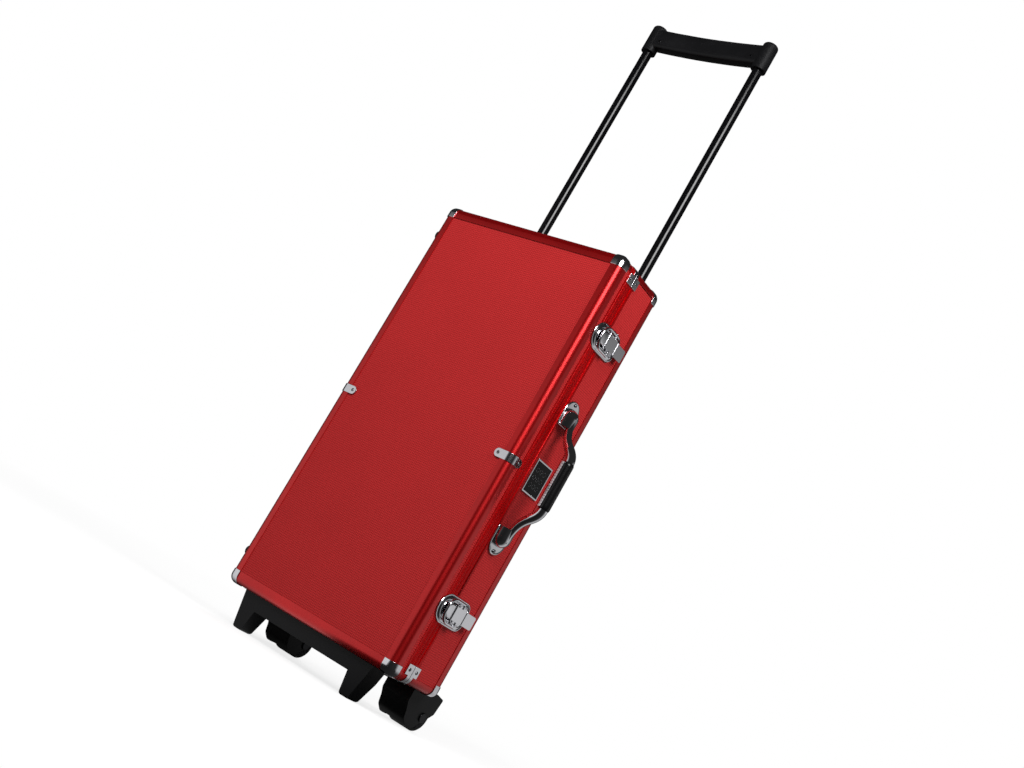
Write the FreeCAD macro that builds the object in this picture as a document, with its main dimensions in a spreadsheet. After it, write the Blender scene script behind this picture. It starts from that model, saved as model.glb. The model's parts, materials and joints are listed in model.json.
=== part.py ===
import FreeCAD, Part
import math
import os
import Sketcher

# Rolling aluminium-framed case for a tile game set, standing on its base with the trolley handle out.
# X runs from the hinge side to the latch side, Y from the lid to the back, Z up from the floor.
# Lengths are millimetres. The case box is laid out about its own centre line, and every finished
# piece is then shifted so that the origin lies under the middle of the whole object.

V = FreeCAD.Vector
doc = FreeCAD.newDocument("rolling_game_case")


class Size:
    """A length that carries its number and the sheet expression behind it."""

    def __init__(self, value, text):
        self.value = float(value)
        self.text = text

    def __float__(self):
        return self.value

    def __add__(self, other):
        other = as_size(other)
        return Size(self.value + other.value, f"({self.text} + {other.text})")

    def __radd__(self, other):
        return as_size(other) + self

    def __sub__(self, other):
        other = as_size(other)
        return Size(self.value - other.value, f"({self.text} - {other.text})")

    def __rsub__(self, other):
        return as_size(other) - self

    def __mul__(self, other):
        other = as_size(other)
        return Size(self.value * other.value, f"({self.text} * {other.text})")

    def __rmul__(self, other):
        return as_size(other) * self

    def __truediv__(self, other):
        other = as_size(other)
        return Size(self.value / other.value, f"({self.text} / {other.text})")

    def __neg__(self):
        return Size(-self.value, f"(0 - {self.text})")


def as_size(item):
    if isinstance(item, Size):
        return item
    return Size(item, repr(float(item)))


# Driving dimensions: name, value, meaning
DIMENSIONS = [
    ("case_width", 296, "case box, hinge side to latch side, over the edging"),
    ("case_depth", 104, "case box, lid face to back face, over the edging"),
    ("case_height", 560, "case box, bottom to top, over the edging"),
    ("base_height", 46, "floor to the bottom of the case box"),
    ("lid_depth", 36.5, "lid face to the seam"),
    ("seam_gap", 0.4, "gap between the closed lid and the body"),
    ("edge_radius", 9, "outer radius of the rounded edging"),
    ("edge_leg", 15, "width of the edging on each face"),
    ("corner_leg", 10, "width of the corner edging between two side walls"),
    ("skin", 1, "thickness of an edging lip, and how far it stands proud of a board"),
    ("board", 4, "thickness of the laminated boards"),
    ("slot_start", 7.5, "corner to the bottom of the board slots in the edging"),
    ("slot_clear", 0.1, "clearance of a board in its slot"),
    ("inner_lip", 1.1, "thickness of the edging lip behind the board"),
    ("edging_setback", 12, "corner to the end of an edging bar, under the corner cap"),
    ("lid_valance", 14, "width of the ribbed seam profile on the lid"),
    ("body_valance", 8, "width of the seam profile on the body"),
    ("valance_web", 1.3, "web of a seam profile"),
    ("lid_slot_depth", 7, "depth of the board slot in the lid's seam profile"),
    ("body_slot_depth", 2.2, "depth of the board slot in the body's seam profile"),
    ("tongue_height", 3.5, "how far the lid's tongue enters the body's groove"),
    ("tongue_thickness", 2.4, "thickness of the tongue"),
    ("tongue_inset", 1.9, "outer face of the case to the tongue"),
    ("tongue_clear", 0.3, "clearance round the tongue in its groove"),
    ("flute_width", 1.1, "width of a decorative flute in the seam profile"),
    ("flute_depth", 0.5, "depth of a flute"),
    ("flute_pitch", 2.5, "spacing of the flutes"),
    ("bead_width", 2, "width of the raised bead along the body's seam profile"),
    ("bead_height", 1, "height of the bead"),
    ("bead_offset", 3.9, "seam to the middle of the bead"),
    ("hardware", 1, "thickness of the chrome sheet hardware"),
    ("hardware_clear", 0.05, "gap between the chrome hardware and the case"),
    ("cap_leg", 15.5, "length of a corner cap along each edge"),
    ("seam_plate_reach", 23, "corner to the end of a seam plate"),
    ("seam_plate_shoulder", 10, "corner to the wide wing of a seam plate"),
    ("seam_plate_wing", 11.8, "seam to the far edge of a wing"),
    ("seam_plate_tail", 5.5, "seam to the far edge of the narrow tail"),
    ("strap_width", 11, "width of a mid strap"),
    ("strap_front", 26, "strap reach on the lid face"),
    ("strap_side", 22, "strap reach on the side face"),
    ("rivet_radius", 2.2, "radius of a rivet head"),
    ("rivet_height", 0.9, "height of a rivet head"),
    ("latch_spacing", 368, "height between the two latches"),
    ("latch_radius", 18, "radius of the rounded latch plates"),
    ("latch_plate", 2.5, "thickness of a latch plate"),
    ("latch_length", 39, "seam to the far end of the latch base"),
    ("latch_corner", 12, "corner radius of the latch base"),
    ("latch_round_centre", 0.6, "seam to the centre of the catch plate's round end"),
    ("lever_width", 17, "width of the latch lever"),
    ("lever_pivot", 5.6, "seam to the lever's pivot"),
    ("lever_knuckle", 2.3, "radius of the lever's pivot end"),
    ("lever_height", 4.6, "thickness of the lever's thick part"),
    ("lever_thin", 3.2, "thickness of the lever's thin end"),
    ("lever_step", 26, "seam to the step in the lever"),
    ("lever_length", 49, "seam to the lever's tip"),
    ("lever_lift", 0.5, "gap under the lever"),
    ("latch_pin", 1.2, "radius of the latch pins"),
    ("pin_clear", 0.06, "radial running clearance of a pin"),
    ("ear_thickness", 2, "thickness of the ears that hold the lever"),
    ("ear_gap", 0.3, "gap between the lever and an ear"),
    ("ring_pin", 18.4, "seam to the pin that carries the draw ring"),
    ("ring_reach", 14.7, "seam to the outer end of the draw ring"),
    ("ring_bar", 4.2, "width of the draw ring's bar"),
    ("ring_inner", 12, "half the inner width of the draw ring"),
    ("ring_thickness", 2.8, "thickness of the draw ring"),
    ("catch_height", 1.2, "height of the catch block above its plate"),
    ("catch_overhang", 3, "how far the catch block passes over the seam"),
    ("handle_gap", 145, "distance between the open ends of the handle brackets"),
    ("bracket_length", 31, "length of a handle bracket"),
    ("bracket_width", 35, "width of a handle bracket"),
    ("bracket_plate", 2, "thickness of the bracket plate"),
    ("handle_side", 20.5, "seam to the middle of the handle"),
    ("hood_width", 19, "width of the bracket's hood"),
    ("hood_length", 18, "length of the hood"),
    ("handle_pivot", 8.5, "side face to the handle's pivot line"),
    ("bail_radius", 4.5, "radius of the handle's bar"),
    ("bail_insert", 13, "length of the bar inside a bracket"),
    ("handle_reach", 34, "side face to the middle of the grip"),
    ("bail_run", 3.6, "bracket to the corner of the bar's first bend"),
    ("bail_slope", 27, "height between the two corners of the bar on one side"),
    ("bail_bend", 7, "radius of the bar's first bend"),
    ("bail_sweep", 19, "radius of the bar's bend beside the grip"),
    ("grip_radius", 7.5, "radius of the carry grip"),
    ("grip_length", 66, "length of the carry grip"),
    ("badge_height", 43, "height of the name plate"),
    ("badge_front_margin", 1.8, "seam profile to the name plate"),
    ("badge_back_margin", 7, "name plate to the back edging"),
    ("badge_frame", 2, "width of the name plate's frame"),
    ("badge_thickness", 1.6, "thickness of the name plate's frame"),
    ("badge_recess", 0.7, "recess of the name plate's face"),
    ("hinge_spacing", 380, "height between the two hinges"),
    ("hinge_length", 45, "length of a hinge"),
    ("hinge_leaf", 16, "width of a hinge leaf from the seam"),
    ("leaf_thickness", 1.2, "thickness of a hinge leaf"),
    ("knuckle_radius", 3.2, "radius of a hinge knuckle"),
    ("hinge_pin", 1.5, "radius of a hinge pin"),
    ("knuckle_gap", 0.3, "gap between two knuckles"),
    ("bumper_radius", 7, "radius of a side foot"),
    ("bumper_height", 5, "height of a side foot"),
    ("bumper_end", 42, "end of the case to a side foot"),
    ("bumper_side", 13, "case face to a side foot"),
    ("tray_gap", 0.5, "gap between the tile tray and the walls"),
    ("lining_seat", 0.1, "gap between a lining piece and the edging that it lies on"),
    ("tray_top", 3, "seam to the top of the tile tray"),
    ("tray_wall", 8, "walls of the tile tray"),
    ("tray_floor", 6, "floor of the tile tray"),
    ("rack_well_width", 84, "width of the well for the racks"),
    ("tile_well_columns", 2, "tile wells side by side"),
    ("tile_well_rows", 4, "tile wells above each other"),
    ("pad_thickness", 12, "thickness of the lining pad in the lid"),
    ("pad_gap", 0.4, "gap round the lining pad"),
    ("rod_spacing", 184, "distance between the trolley rods"),
    ("rod_behind", 17.5, "back face to the trolley rods"),
    ("rod_radius", 7, "radius of a trolley rod"),
    ("rod_wall", 1.2, "wall of a trolley rod"),
    ("tube_radius", 9, "outer radius of a trolley tube"),
    ("tube_bore", 7.6, "inner radius of a trolley tube"),
    ("tube_top", 10, "top of the case down to the top of the tubes"),
    ("tube_bottom", 4, "bottom of the case up to the foot of the tubes"),
    ("slider_radius", 7.54, "radius of a rod's slider"),
    ("slider_length", 24, "length of a slider"),
    ("rod_overlap", 75, "rod length that stays in the tube when the handle is out"),
    ("handle_out", 355, "top of the case to the underside of the grip's sockets"),
    ("socket_radius", 10.8, "radius of the grip's sockets"),
    ("socket_height", 42, "height of the grip's sockets"),
    ("socket_depth", 26, "depth of a rod in its socket"),
    ("bar_drop", 5, "top of a socket to the top of the cross bar"),
    ("bar_height", 30, "height of the cross bar"),
    ("bar_depth", 18, "front to back of the cross bar"),
    ("bar_sag", 3, "how far the middle of the cross bar hangs"),
    ("bracket_past", 18, "trolley rod to the end of the top bracket"),
    ("bracket_height", 34, "height of the top bracket"),
    ("bush_height", 8, "height of the bush over a tube"),
    ("bush_clear", 0.06, "radial clearance of a rod in its bush"),
    ("tube_fit", 0.05, "radial clearance of a tube in its socket"),
    ("boss_radius", 14, "radius of the bosses round the tubes"),
    ("back_gap", 1.3, "gap between the case and the trolley frame behind it"),
    ("spine", 8, "thickness of the trolley frame behind the case"),
    ("base_inset_top", 30.5, "side face to the end of the base at its top"),
    ("base_inset_bottom", 42, "side face to the outer side of a front foot at the floor"),
    ("base_front", 9.5, "lid face to the front of the base"),
    ("base_bar", 18.5, "case bottom to the underside of the base bar"),
    ("base_gap", 1.4, "gap between the case and the base under it"),
    ("base_plate", 4, "thickness of the base plate behind its front bar"),
    ("plate_inset", 11.5, "wheel housing to the side of the base plate"),
    ("foot_width_top", 31.5, "width of a front foot at its top"),
    ("foot_width_bottom", 15, "width of a front foot at the floor"),
    ("foot_corner", 4, "radius of a front foot's lower corners"),
    ("foot_depth", 25, "front to back of a front foot and its bar at the top"),
    ("foot_depth_bottom", 20, "front to back of a front foot at the floor"),
    ("base_rear", 9, "back face of the case to the rear of the base plate"),
    ("upstand", 40, "height of the base's upstand behind the case"),
    ("housing_inset", 18.5, "side face to the outer face of a wheel housing"),
    ("housing_width", 44, "width of a wheel housing"),
    ("housing_wall", 3, "wall of a wheel housing"),
    ("housing_lift", 2.5, "gap between a housing and the floor"),
    ("wheel_radius", 20, "radius of a wheel"),
    ("wheel_width", 36, "width of a wheel"),
    ("wheel_behind", 18, "back face of the case to the axle"),
    ("tyre_thickness", 5, "thickness of a tyre"),
    ("hub_boss", 18.3, "half the length of a wheel's boss"),
    ("axle_radius", 3, "radius of an axle"),
    ("axle_clear", 0.06, "radial running clearance of a wheel on its axle"),
    ("axle_head", 6, "radius of an axle's head"),
    ("screw_radius", 3.2, "radius of a base screw's head"),
    ("screw_head", 1.8, "height of a base screw's head"),
]

sheet = doc.addObject("Spreadsheet::Sheet", "dims")


class Dimensions:
    """The sheet's cells by name."""


d = Dimensions()
for row, (name, value, meaning) in enumerate(DIMENSIONS, start=1):
    sheet.set(f"A{row}", meaning)
    sheet.set(f"B{row}", str(value))
    sheet.setAlias(f"B{row}", name)
    setattr(d, name, Size(value, f"dims.{name}"))
doc.recompute()

# Places worked out from the driving dimensions
x_side = d.case_width / 2
y_front = -(d.case_depth / 2)
y_back = d.case_depth / 2
y_seam = y_front + d.lid_depth
z_low = d.base_height
z_high = d.base_height + d.case_height
z_mid = d.base_height + d.case_height / 2
y_lid_end = y_seam - d.seam_gap / 2
y_body_end = y_seam + d.seam_gap / 2
shell_out = d.hardware + d.hardware_clear
board_in = d.skin + d.board
y_rods = y_back + d.rod_behind
x_rods = d.rod_spacing / 2
y_axle = y_back + d.wheel_behind
y_rear_most = y_axle + d.wheel_radius
x_handle_most = x_side + d.handle_reach + d.grip_radius
bracket_half = x_rods + d.bracket_past
base_half_top = x_side - d.base_inset_top
base_half_bottom = x_side - d.base_inset_bottom
foot_inner_top = base_half_top - d.foot_width_top
foot_inner_bottom = base_half_bottom - d.foot_width_bottom
housing_outer = x_side - d.housing_inset
housing_inner = housing_outer - d.housing_width
x_wheels = housing_outer - d.housing_width / 2
x_hinge_axis = -(x_side + d.hardware_clear + d.knuckle_radius)
x_least = -(x_side + d.hardware_clear + d.knuckle_radius * 2)
shift_x = -((x_handle_most + x_least) / 2)
y_front_most = y_front - shell_out - d.rivet_height
shift_y = -((y_rear_most + y_front_most) / 2)

AXES = {"x": V(1, 0, 0), "y": V(0, 1, 0), "z": V(0, 0, 1)}
finished = []


def bind(target, path, size):
    """Tie one property to the sheet."""
    size = as_size(size)
    if "." not in path:
        setattr(target, path, size.value)
    target.setExpression(path, size.text)


def place(target, base, rotation=None):
    """Put an object at a point that follows the sheet."""
    if rotation is not None:
        target.Placement = FreeCAD.Placement(V(0, 0, 0), rotation)
    for letter, size in zip("xyz", base):
        target.setExpression(f"Placement.Base.{letter}", as_size(size).text)


def turned(axis_x, axis_y):
    """Rotation that carries local X and Y onto two global directions."""
    axis_z = axis_x.cross(axis_y)
    return FreeCAD.Rotation(axis_x, axis_y, axis_z, "ZXY")


def unit(x, y, z):
    return V(float(x), float(y), float(z))


def box(x, y, z, name="block"):
    """Block between pairs of X, Y and Z limits."""
    item = doc.addObject("Part::Box", name)
    for limits, side in ((x, "Length"), (y, "Width"), (z, "Height")):
        bind(item, side, as_size(limits[1]) - limits[0])
    place(item, (x[0], y[0], z[0]))
    return item


def cylinder(base, axis, radius, length, name="round"):
    """Cylinder from a point along x, y or z."""
    item = doc.addObject("Part::Cylinder", name)
    bind(item, "Radius", radius)
    bind(item, "Height", length)
    place(item, base, FreeCAD.Rotation(V(0, 0, 1), AXES[axis]))
    return item


def fuse(parts, name="joined"):
    item = doc.addObject("Part::MultiFuse", name)
    item.Shapes = parts
    item.Refine = True
    return item


def cut(base, tools, name="trimmed"):
    tool = tools if not isinstance(tools, list) else (tools[0] if len(tools) == 1 else fuse(tools))
    item = doc.addObject("Part::Cut", name)
    item.Base = base
    item.Tool = tool
    item.Refine = True
    return item


def common(base, tool, name="shared"):
    item = doc.addObject("Part::MultiCommon", name)
    item.Shapes = [base, tool]
    item.Refine = True
    return item


def group(parts, name="group"):
    item = doc.addObject("Part::Compound", name)
    item.Links = parts
    return item


def rounded(base, radius, wanted=None, name="rounded"):
    """Round the edges that the test picks, or all of them."""
    doc.recompute()
    picked = []
    for number, edge in enumerate(base.Shape.Edges, start=1):
        if wanted is None or wanted(edge):
            picked.append((number, float(radius), float(radius)))
    item = doc.addObject("Part::Fillet", name)
    item.Base = base
    item.Edges = picked
    return item


def along(edge, axis):
    """True for a straight edge that runs along the axis."""
    if edge.Curve.TypeId != "Part::GeomLine":
        return False
    return abs(edge.tangentAt(edge.FirstParameter).dot(AXES[axis])) > 0.999


def keep(item, label):
    """Name a finished sub-part and shift it to the object's own origin."""
    item.Label = label
    for letter, size in (("x", shift_x), ("y", shift_y)):
        path = f"Placement.Base.{letter}"
        own = [text for where, text in item.ExpressionEngine if where.lstrip(".") == path]
        item.setExpression(path, f"{own[0]} + {size.text}" if own else size.text)
    finished.append(item)
    return item


def keep_shape(shape, label):
    """Store a sub-part whose form is worked out point by point."""
    item = doc.addObject("Part::Feature", label)
    item.Shape = shape
    return keep(item, label)


def new_body(name):
    return doc.addObject("PartDesign::Body", name)


def new_sketch(body, role, offset=0):
    """Sketch on one of the body's origin planes, moved along its normal."""
    sketch = body.newObject("Sketcher::SketchObject", f"{body.Name}_sketch")
    support = [item for item in body.Origin.OriginFeatures if item.Role == role][0]
    sketch.AttachmentSupport = [(support, "")]
    sketch.MapMode = "FlatFace"
    sketch.setExpression("AttachmentOffset.Base.z", as_size(offset).text)
    return sketch


def tie_point(sketch, shape, end, point):
    """Fix a point of the sketch at two lengths from its origin."""
    for kind, size in (("DistanceX", point[0]), ("DistanceY", point[1])):
        number = sketch.addConstraint(Sketcher.Constraint(kind, -1, 1, shape, end, float(size)))
        sketch.setExpression(f"Constraints[{number}]", as_size(size).text)


def outline(sketch, points):
    """Closed run of straight lines."""
    lines = []
    for start, end in zip(points, points[1:] + points[:1]):
        line = Part.LineSegment(unit(start[0], start[1], 0), unit(end[0], end[1], 0))
        lines.append(sketch.addGeometry(line, False))
    for line, after in zip(lines, lines[1:] + lines[:1]):
        sketch.addConstraint(Sketcher.Constraint("Coincident", line, 2, after, 1))
    for line, point in zip(lines, points):
        tie_point(sketch, line, 1, point)


def rectangle(sketch, across, up):
    outline(sketch, [(across[0], up[0]), (across[1], up[0]), (across[1], up[1]), (across[0], up[1])])


def circle(sketch, centre, radius):
    number = sketch.addGeometry(Part.Circle(unit(centre[0], centre[1], 0), V(0, 0, 1), float(radius)))
    tie_point(sketch, number, 3, centre)
    rule = sketch.addConstraint(Sketcher.Constraint("Radius", number, float(radius)))
    sketch.setExpression(f"Constraints[{rule}]", as_size(radius).text)


def pad(body, sketch, length, backwards=False):
    feature = body.newObject("PartDesign::Pad", f"{body.Name}_pad")
    feature.Profile = sketch
    bind(feature, "Length", length)
    feature.Reversed = backwards
    return feature


def pocket(body, sketch, length, backwards=False):
    """Pocket whose direction is proved by the volume that it takes away."""
    doc.recompute()
    before = body.Shape.Volume
    feature = body.newObject("PartDesign::Pocket", f"{body.Name}_pocket")
    feature.Profile = sketch
    bind(feature, "Length", length)
    feature.Reversed = backwards
    doc.recompute()
    if body.Shape.Volume >= before - 1e-6:
        raise RuntimeError(f"a pocket of {body.Name} cuts nothing")
    return feature


def round_edges(body, radius, wanted):
    """Round the picked edges of the body's last feature."""
    doc.recompute()
    last = body.Tip
    names = [f"Edge{n}" for n, edge in enumerate(last.Shape.Edges, start=1) if wanted(edge)]
    feature = body.newObject("PartDesign::Fillet", f"{body.Name}_round")
    feature.Base = (last, names)
    bind(feature, "Radius", radius)
    return feature


def mirrored_x(item, name="mirror"):
    """Mirror image on the other side of the middle plane."""
    other = doc.addObject("Part::Mirroring", name)
    other.Source = item
    other.Base = V(0, 0, 0)
    other.Normal = V(1, 0, 0)
    return other


# Boards

def board_pad(name, across, up, front, depth):
    """Flat board in the XZ plane."""
    body = new_body(name)
    sketch = new_sketch(body, "XZ_Plane", -front)
    rectangle(sketch, across, up)
    pad(body, sketch, depth, backwards=True)
    return body


board_start = d.slot_start + d.slot_clear
wide = (board_start - x_side, x_side - board_start)
tall = (z_low + board_start, z_high - board_start)
keep(board_pad("lid_front_board", wide, tall, y_front + d.skin, d.board), "lid_front_panel")
keep(board_pad("back_board", wide, tall, y_back - board_in, d.board), "back_panel")


def side_walls(y_start, y_end):
    """Four boards between the faces of the lid or the body."""
    depth = (y_start, y_end)
    return [
        box((x_side - board_in, x_side - d.skin), depth, tall, "latch_board"),
        box((d.skin - x_side, board_in - x_side), depth, tall, "hinge_board"),
        box(wide, depth, (z_high - board_in, z_high - d.skin), "top_board"),
        box(wide, depth, (z_low + d.skin, z_low + board_in), "bottom_board"),
    ]


y_lid_board_end = y_lid_end - d.lid_valance + d.lid_slot_depth - d.slot_clear
y_body_board_end = y_body_end + d.body_valance - d.body_slot_depth + d.slot_clear
keep(group(side_walls(y_front + board_start, y_lid_board_end)), "lid_side_walls")
keep(group(side_walls(y_body_board_end, y_back - board_start)), "body_side_walls")


# Edging: an L-shaped extrusion with a rounded back and a board slot in each leg

def edging_bar(name, leg, length):
    """Bar along local Z, with its corner at the local origin and its legs along local X and Y."""
    body = new_body(name)
    sketch = new_sketch(body, "XY_Plane")
    slot_in = d.skin + d.board + d.slot_clear
    back = slot_in + d.inner_lip
    points = [(leg, 0), (d.edge_radius, 0), (0, d.edge_radius), (0, leg), (d.skin, leg),
              (d.skin, d.slot_start), (slot_in, d.slot_start), (slot_in, leg), (back, leg),
              (back, back), (leg, back), (leg, slot_in), (d.slot_start, slot_in),
              (d.slot_start, d.skin), (leg, d.skin)]
    numbers = []
    radius = float(d.edge_radius)
    for index, (start, end) in enumerate(zip(points, points[1:] + points[:1])):
        if index == 1:
            whole = Part.Circle(V(radius, radius, 0), V(0, 0, 1), radius)
            shape = Part.ArcOfCircle(whole, math.pi, 1.5 * math.pi)
        else:
            shape = Part.LineSegment(unit(start[0], start[1], 0), unit(end[0], end[1], 0))
        numbers.append(sketch.addGeometry(shape, False))
    ends = [(2, 1) if index == 1 else (1, 2) for index in range(len(points))]
    for index, number in enumerate(numbers):
        after = (index + 1) % len(points)
        sketch.addConstraint(
            Sketcher.Constraint("Coincident", number, ends[index][1], numbers[after], ends[after][0]))
        tie_point(sketch, number, ends[index][0], points[index])
    rule = sketch.addConstraint(Sketcher.Constraint("Radius", numbers[1], radius))
    sketch.setExpression(f"Constraints[{rule}]", d.edge_radius.text)
    pad(body, sketch, length)
    return body


def lay_bar(bar, corner, first, second):
    """Lay an edging bar at a corner, its legs along the two given directions."""
    place(bar, corner, turned(first, second))
    return bar


def face_edging(y_corner, inward, stem):
    """Four bars round the lid face or the back face. inward is the Y direction into the case."""
    depth = V(0, inward, 0)
    long_bar = d.case_height - d.edging_setback * 2
    short_bar = d.case_width - d.edging_setback * 2
    bars = []
    for side in (1, -1):
        first, second = V(-side, 0, 0), depth
        if side * inward > 0:
            first, second = second, first
        upright = edging_bar(f"{stem}_upright", d.edge_leg, long_bar)
        rises = first.cross(second).z > 0
        start = z_low + d.edging_setback if rises else z_high - d.edging_setback
        bars.append(lay_bar(upright, (x_side * side, y_corner, start), first, second))
    for side in (1, -1):
        first, second = V(0, 0, -side), depth
        level = edging_bar(f"{stem}_level", d.edge_leg, short_bar)
        runs_right = first.cross(second).x > 0
        start = d.edging_setback - x_side if runs_right else x_side - d.edging_setback
        bars.append(lay_bar(level, (start, y_corner, z_high if side > 0 else z_low), first, second))
    return bars


def corner_edging(y_start, y_end, stem):
    """Four short bars between the side walls, along Y."""
    bars = []
    for side in (1, -1):
        for up in (1, -1):
            first, second = V(-side, 0, 0), V(0, 0, -up)
            bar = edging_bar(stem, d.corner_leg, y_end - y_start)
            start = y_start if first.cross(second).y > 0 else y_end
            corner = (x_side * side, start, z_high if up > 0 else z_low)
            bars.append(lay_bar(bar, corner, first, second))
    return bars


keep(group(face_edging(y_front, 1, "lid_bar")), "lid_edging")
keep(group(face_edging(y_back, -1, "back_bar")), "body_edging")
y_lid_strip = y_lid_end - d.lid_valance
y_body_strip = y_body_end + d.body_valance
keep(group(corner_edging(y_front + d.edge_leg + d.seam_gap, y_lid_strip - d.seam_gap, "lid_corner_bar")),
     "lid_corner_edging")
keep(group(corner_edging(y_body_strip + d.seam_gap, y_back - d.edge_leg - d.seam_gap, "body_corner_bar")),
     "body_corner_edging")


# Seam profiles

def frame_sketch(body, y_place, inset_out, inset_in):
    """Rectangular frame seen from the lid face, between two insets from the case faces."""
    sketch = new_sketch(body, "XZ_Plane", -y_place)
    for inset in (inset_out, inset_in):
        rectangle(sketch, (inset - x_side, x_side - inset), (z_low + inset, z_high - inset))
    return sketch


def straight_runs(body, y_place, inset_out, inset_in, end, hinge_side=True):
    """Straight strips along the sides of the frame, ending short of its corners."""
    sketch = new_sketch(body, "XZ_Plane", -y_place)
    upright = (z_low + end, z_high - end)
    level = (end - x_side, x_side - end)
    rectangle(sketch, (x_side - inset_in, x_side - inset_out), upright)
    rectangle(sketch, level, (z_high - inset_in, z_high - inset_out))
    rectangle(sketch, level, (z_low + inset_out, z_low + inset_in))
    if hinge_side:
        rectangle(sketch, (inset_out - x_side, inset_in - x_side), upright)
    return sketch


def round_corners(body):
    """Round the four outer corners of a seam frame like the edging."""
    def outer_corner(edge):
        where = edge.CenterOfMass
        return along(edge, "y") and abs(abs(where.x) - float(x_side)) < 0.01
    round_edges(body, d.edge_radius, outer_corner)


slot_in = d.skin + d.board + d.slot_clear
profile_in = slot_in + d.inner_lip
tongue_end = d.edge_leg

lid_seam = new_body("lid_seam")
pad(lid_seam, frame_sketch(lid_seam, y_lid_strip, 0, profile_in), d.lid_valance, backwards=True)
round_corners(lid_seam)
pocket(lid_seam, straight_runs(lid_seam, y_lid_strip, d.skin, slot_in, d.slot_start), d.lid_slot_depth)
pad(lid_seam, straight_runs(lid_seam, y_lid_end, d.tongue_inset, d.tongue_inset + d.tongue_thickness,
                            tongue_end, hinge_side=False), d.tongue_height, backwards=True)
flute_start = y_lid_strip + d.flute_pitch * 0.8
flutes = pocket(lid_seam, straight_runs(lid_seam, flute_start, -d.hardware, d.flute_depth,
                                        d.seam_plate_reach), d.flute_width)
flute_row = lid_seam.newObject("PartDesign::LinearPattern", "flute_row")
flute_row.Originals = [flutes]
depth_axis = [item for item in lid_seam.Origin.OriginFeatures if item.Role == "Y_Axis"][0]
flute_row.Direction = (depth_axis, [""])
flute_row.Occurrences = 5
bind(flute_row, "Length", d.flute_pitch * 4)
lid_seam.Tip = flute_row
keep(lid_seam, "lid_valance")

body_seam = new_body("body_seam")
pad(body_seam, frame_sketch(body_seam, y_body_end, 0, profile_in), d.body_valance, backwards=True)
round_corners(body_seam)
groove_out = d.tongue_inset - d.tongue_clear
groove_in = d.tongue_inset + d.tongue_thickness + d.tongue_clear
pocket(body_seam, straight_runs(body_seam, y_body_end, groove_out, groove_in,
                                tongue_end - d.tongue_clear), d.tongue_height + d.tongue_clear * 2)
pocket(body_seam, straight_runs(body_seam, y_body_strip, d.skin, slot_in, d.slot_start),
       d.body_slot_depth, backwards=True)
bead_start = y_seam + d.bead_offset - d.bead_width / 2
latch_zone = d.latch_radius + d.bead_width
z_latches = (z_mid + d.latch_spacing / 2, z_mid - d.latch_spacing / 2)
hinge_zone = d.hinge_length / 2 + d.bead_width
z_hinges = (z_mid + d.hinge_spacing / 2, z_mid - d.hinge_spacing / 2)
bead = new_sketch(body_seam, "XZ_Plane", -bead_start)
run_low = z_low + d.seam_plate_reach + d.bead_width
run_high = z_high - d.seam_plate_reach - d.bead_width
for low, high in ((run_low, z_latches[1] - latch_zone), (z_latches[1] + latch_zone, z_latches[0] - latch_zone),
                  (z_latches[0] + latch_zone, run_high)):
    rectangle(bead, (x_side - d.skin, x_side + d.bead_height), (low, high))
for low, high in ((run_low, z_hinges[1] - hinge_zone), (z_hinges[1] + hinge_zone, z_hinges[0] - hinge_zone),
                  (z_hinges[0] + hinge_zone, run_high)):
    rectangle(bead, (-(x_side + d.bead_height), d.skin - x_side), (low, high))
level_run = (d.seam_plate_reach + d.bead_width - x_side, x_side - d.seam_plate_reach - d.bead_width)
rectangle(bead, level_run, (z_high - d.skin, z_high + d.bead_height))
pad(body_seam, bead, d.bead_width, backwards=True)
keep(body_seam, "body_valance")


# Chrome sheet hardware, all cut from one thin shell round the rounded case box

def case_block(grow, name):
    """The case box grown on every side, with all its edges rounded."""
    block = box((-(x_side + grow), x_side + grow), (y_front - grow, y_back + grow),
                (z_low - grow, z_high + grow), name)
    return rounded(block, d.edge_radius + grow)


def hardware_shell():
    return cut(case_block(shell_out, "shell_out"), case_block(d.hardware_clear, "shell_in"), "hardware_shell")


def corner_blocks(y_start, y_end, leg):
    """Blocks over four corners of the case box, between two Y limits."""
    past = shell_out * 2
    blocks = []
    for x in ((x_side - leg, x_side + past), (-(x_side + past), leg - x_side)):
        for z in ((z_high - leg, z_high + past), (z_low - past, z_low + leg)):
            blocks.append(box(x, (y_start, y_end), z))
    return blocks


def corner_caps(y_start, y_end):
    return common(hardware_shell(), fuse(corner_blocks(y_start, y_end, d.cap_leg)), "corner_caps")


past_shell = shell_out * 2
keep(corner_caps(y_front - past_shell, y_front + d.cap_leg), "lid_corner_caps")
keep(corner_caps(y_back - d.cap_leg, y_back + past_shell), "body_corner_caps")


def seam_plates(y_edge, towards):
    """Four plates that wrap the corners beside the seam. towards is the Y direction off the seam."""
    past = shell_out * 2
    tail_y = sorted((y_edge, y_edge + d.seam_plate_tail * towards), key=float)
    wing_y = sorted((y_edge, y_edge + d.seam_plate_wing * towards), key=float)
    tails = corner_blocks(tail_y[0], tail_y[1], d.seam_plate_shoulder + d.seam_gap)
    wings = []
    for side in (1, -1):
        for up in (1, -1):
            x_far = sorted(((x_side - d.seam_plate_reach) * side, (x_side - d.seam_plate_shoulder) * side),
                           key=float)
            x_near = sorted(((x_side - d.seam_plate_shoulder) * side, (x_side + past) * side), key=float)
            z_end = z_high if up > 0 else z_low
            z_far = sorted((z_end - d.seam_plate_reach * up, z_end - d.seam_plate_shoulder * up), key=float)
            z_near = sorted((z_end - d.seam_plate_shoulder * up, z_end + past * up), key=float)
            wings.append(box(x_far, wing_y, z_near))
            wings.append(box(x_near, wing_y, z_far))
    return common(hardware_shell(), fuse(tails + wings), "seam_plates")


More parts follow.
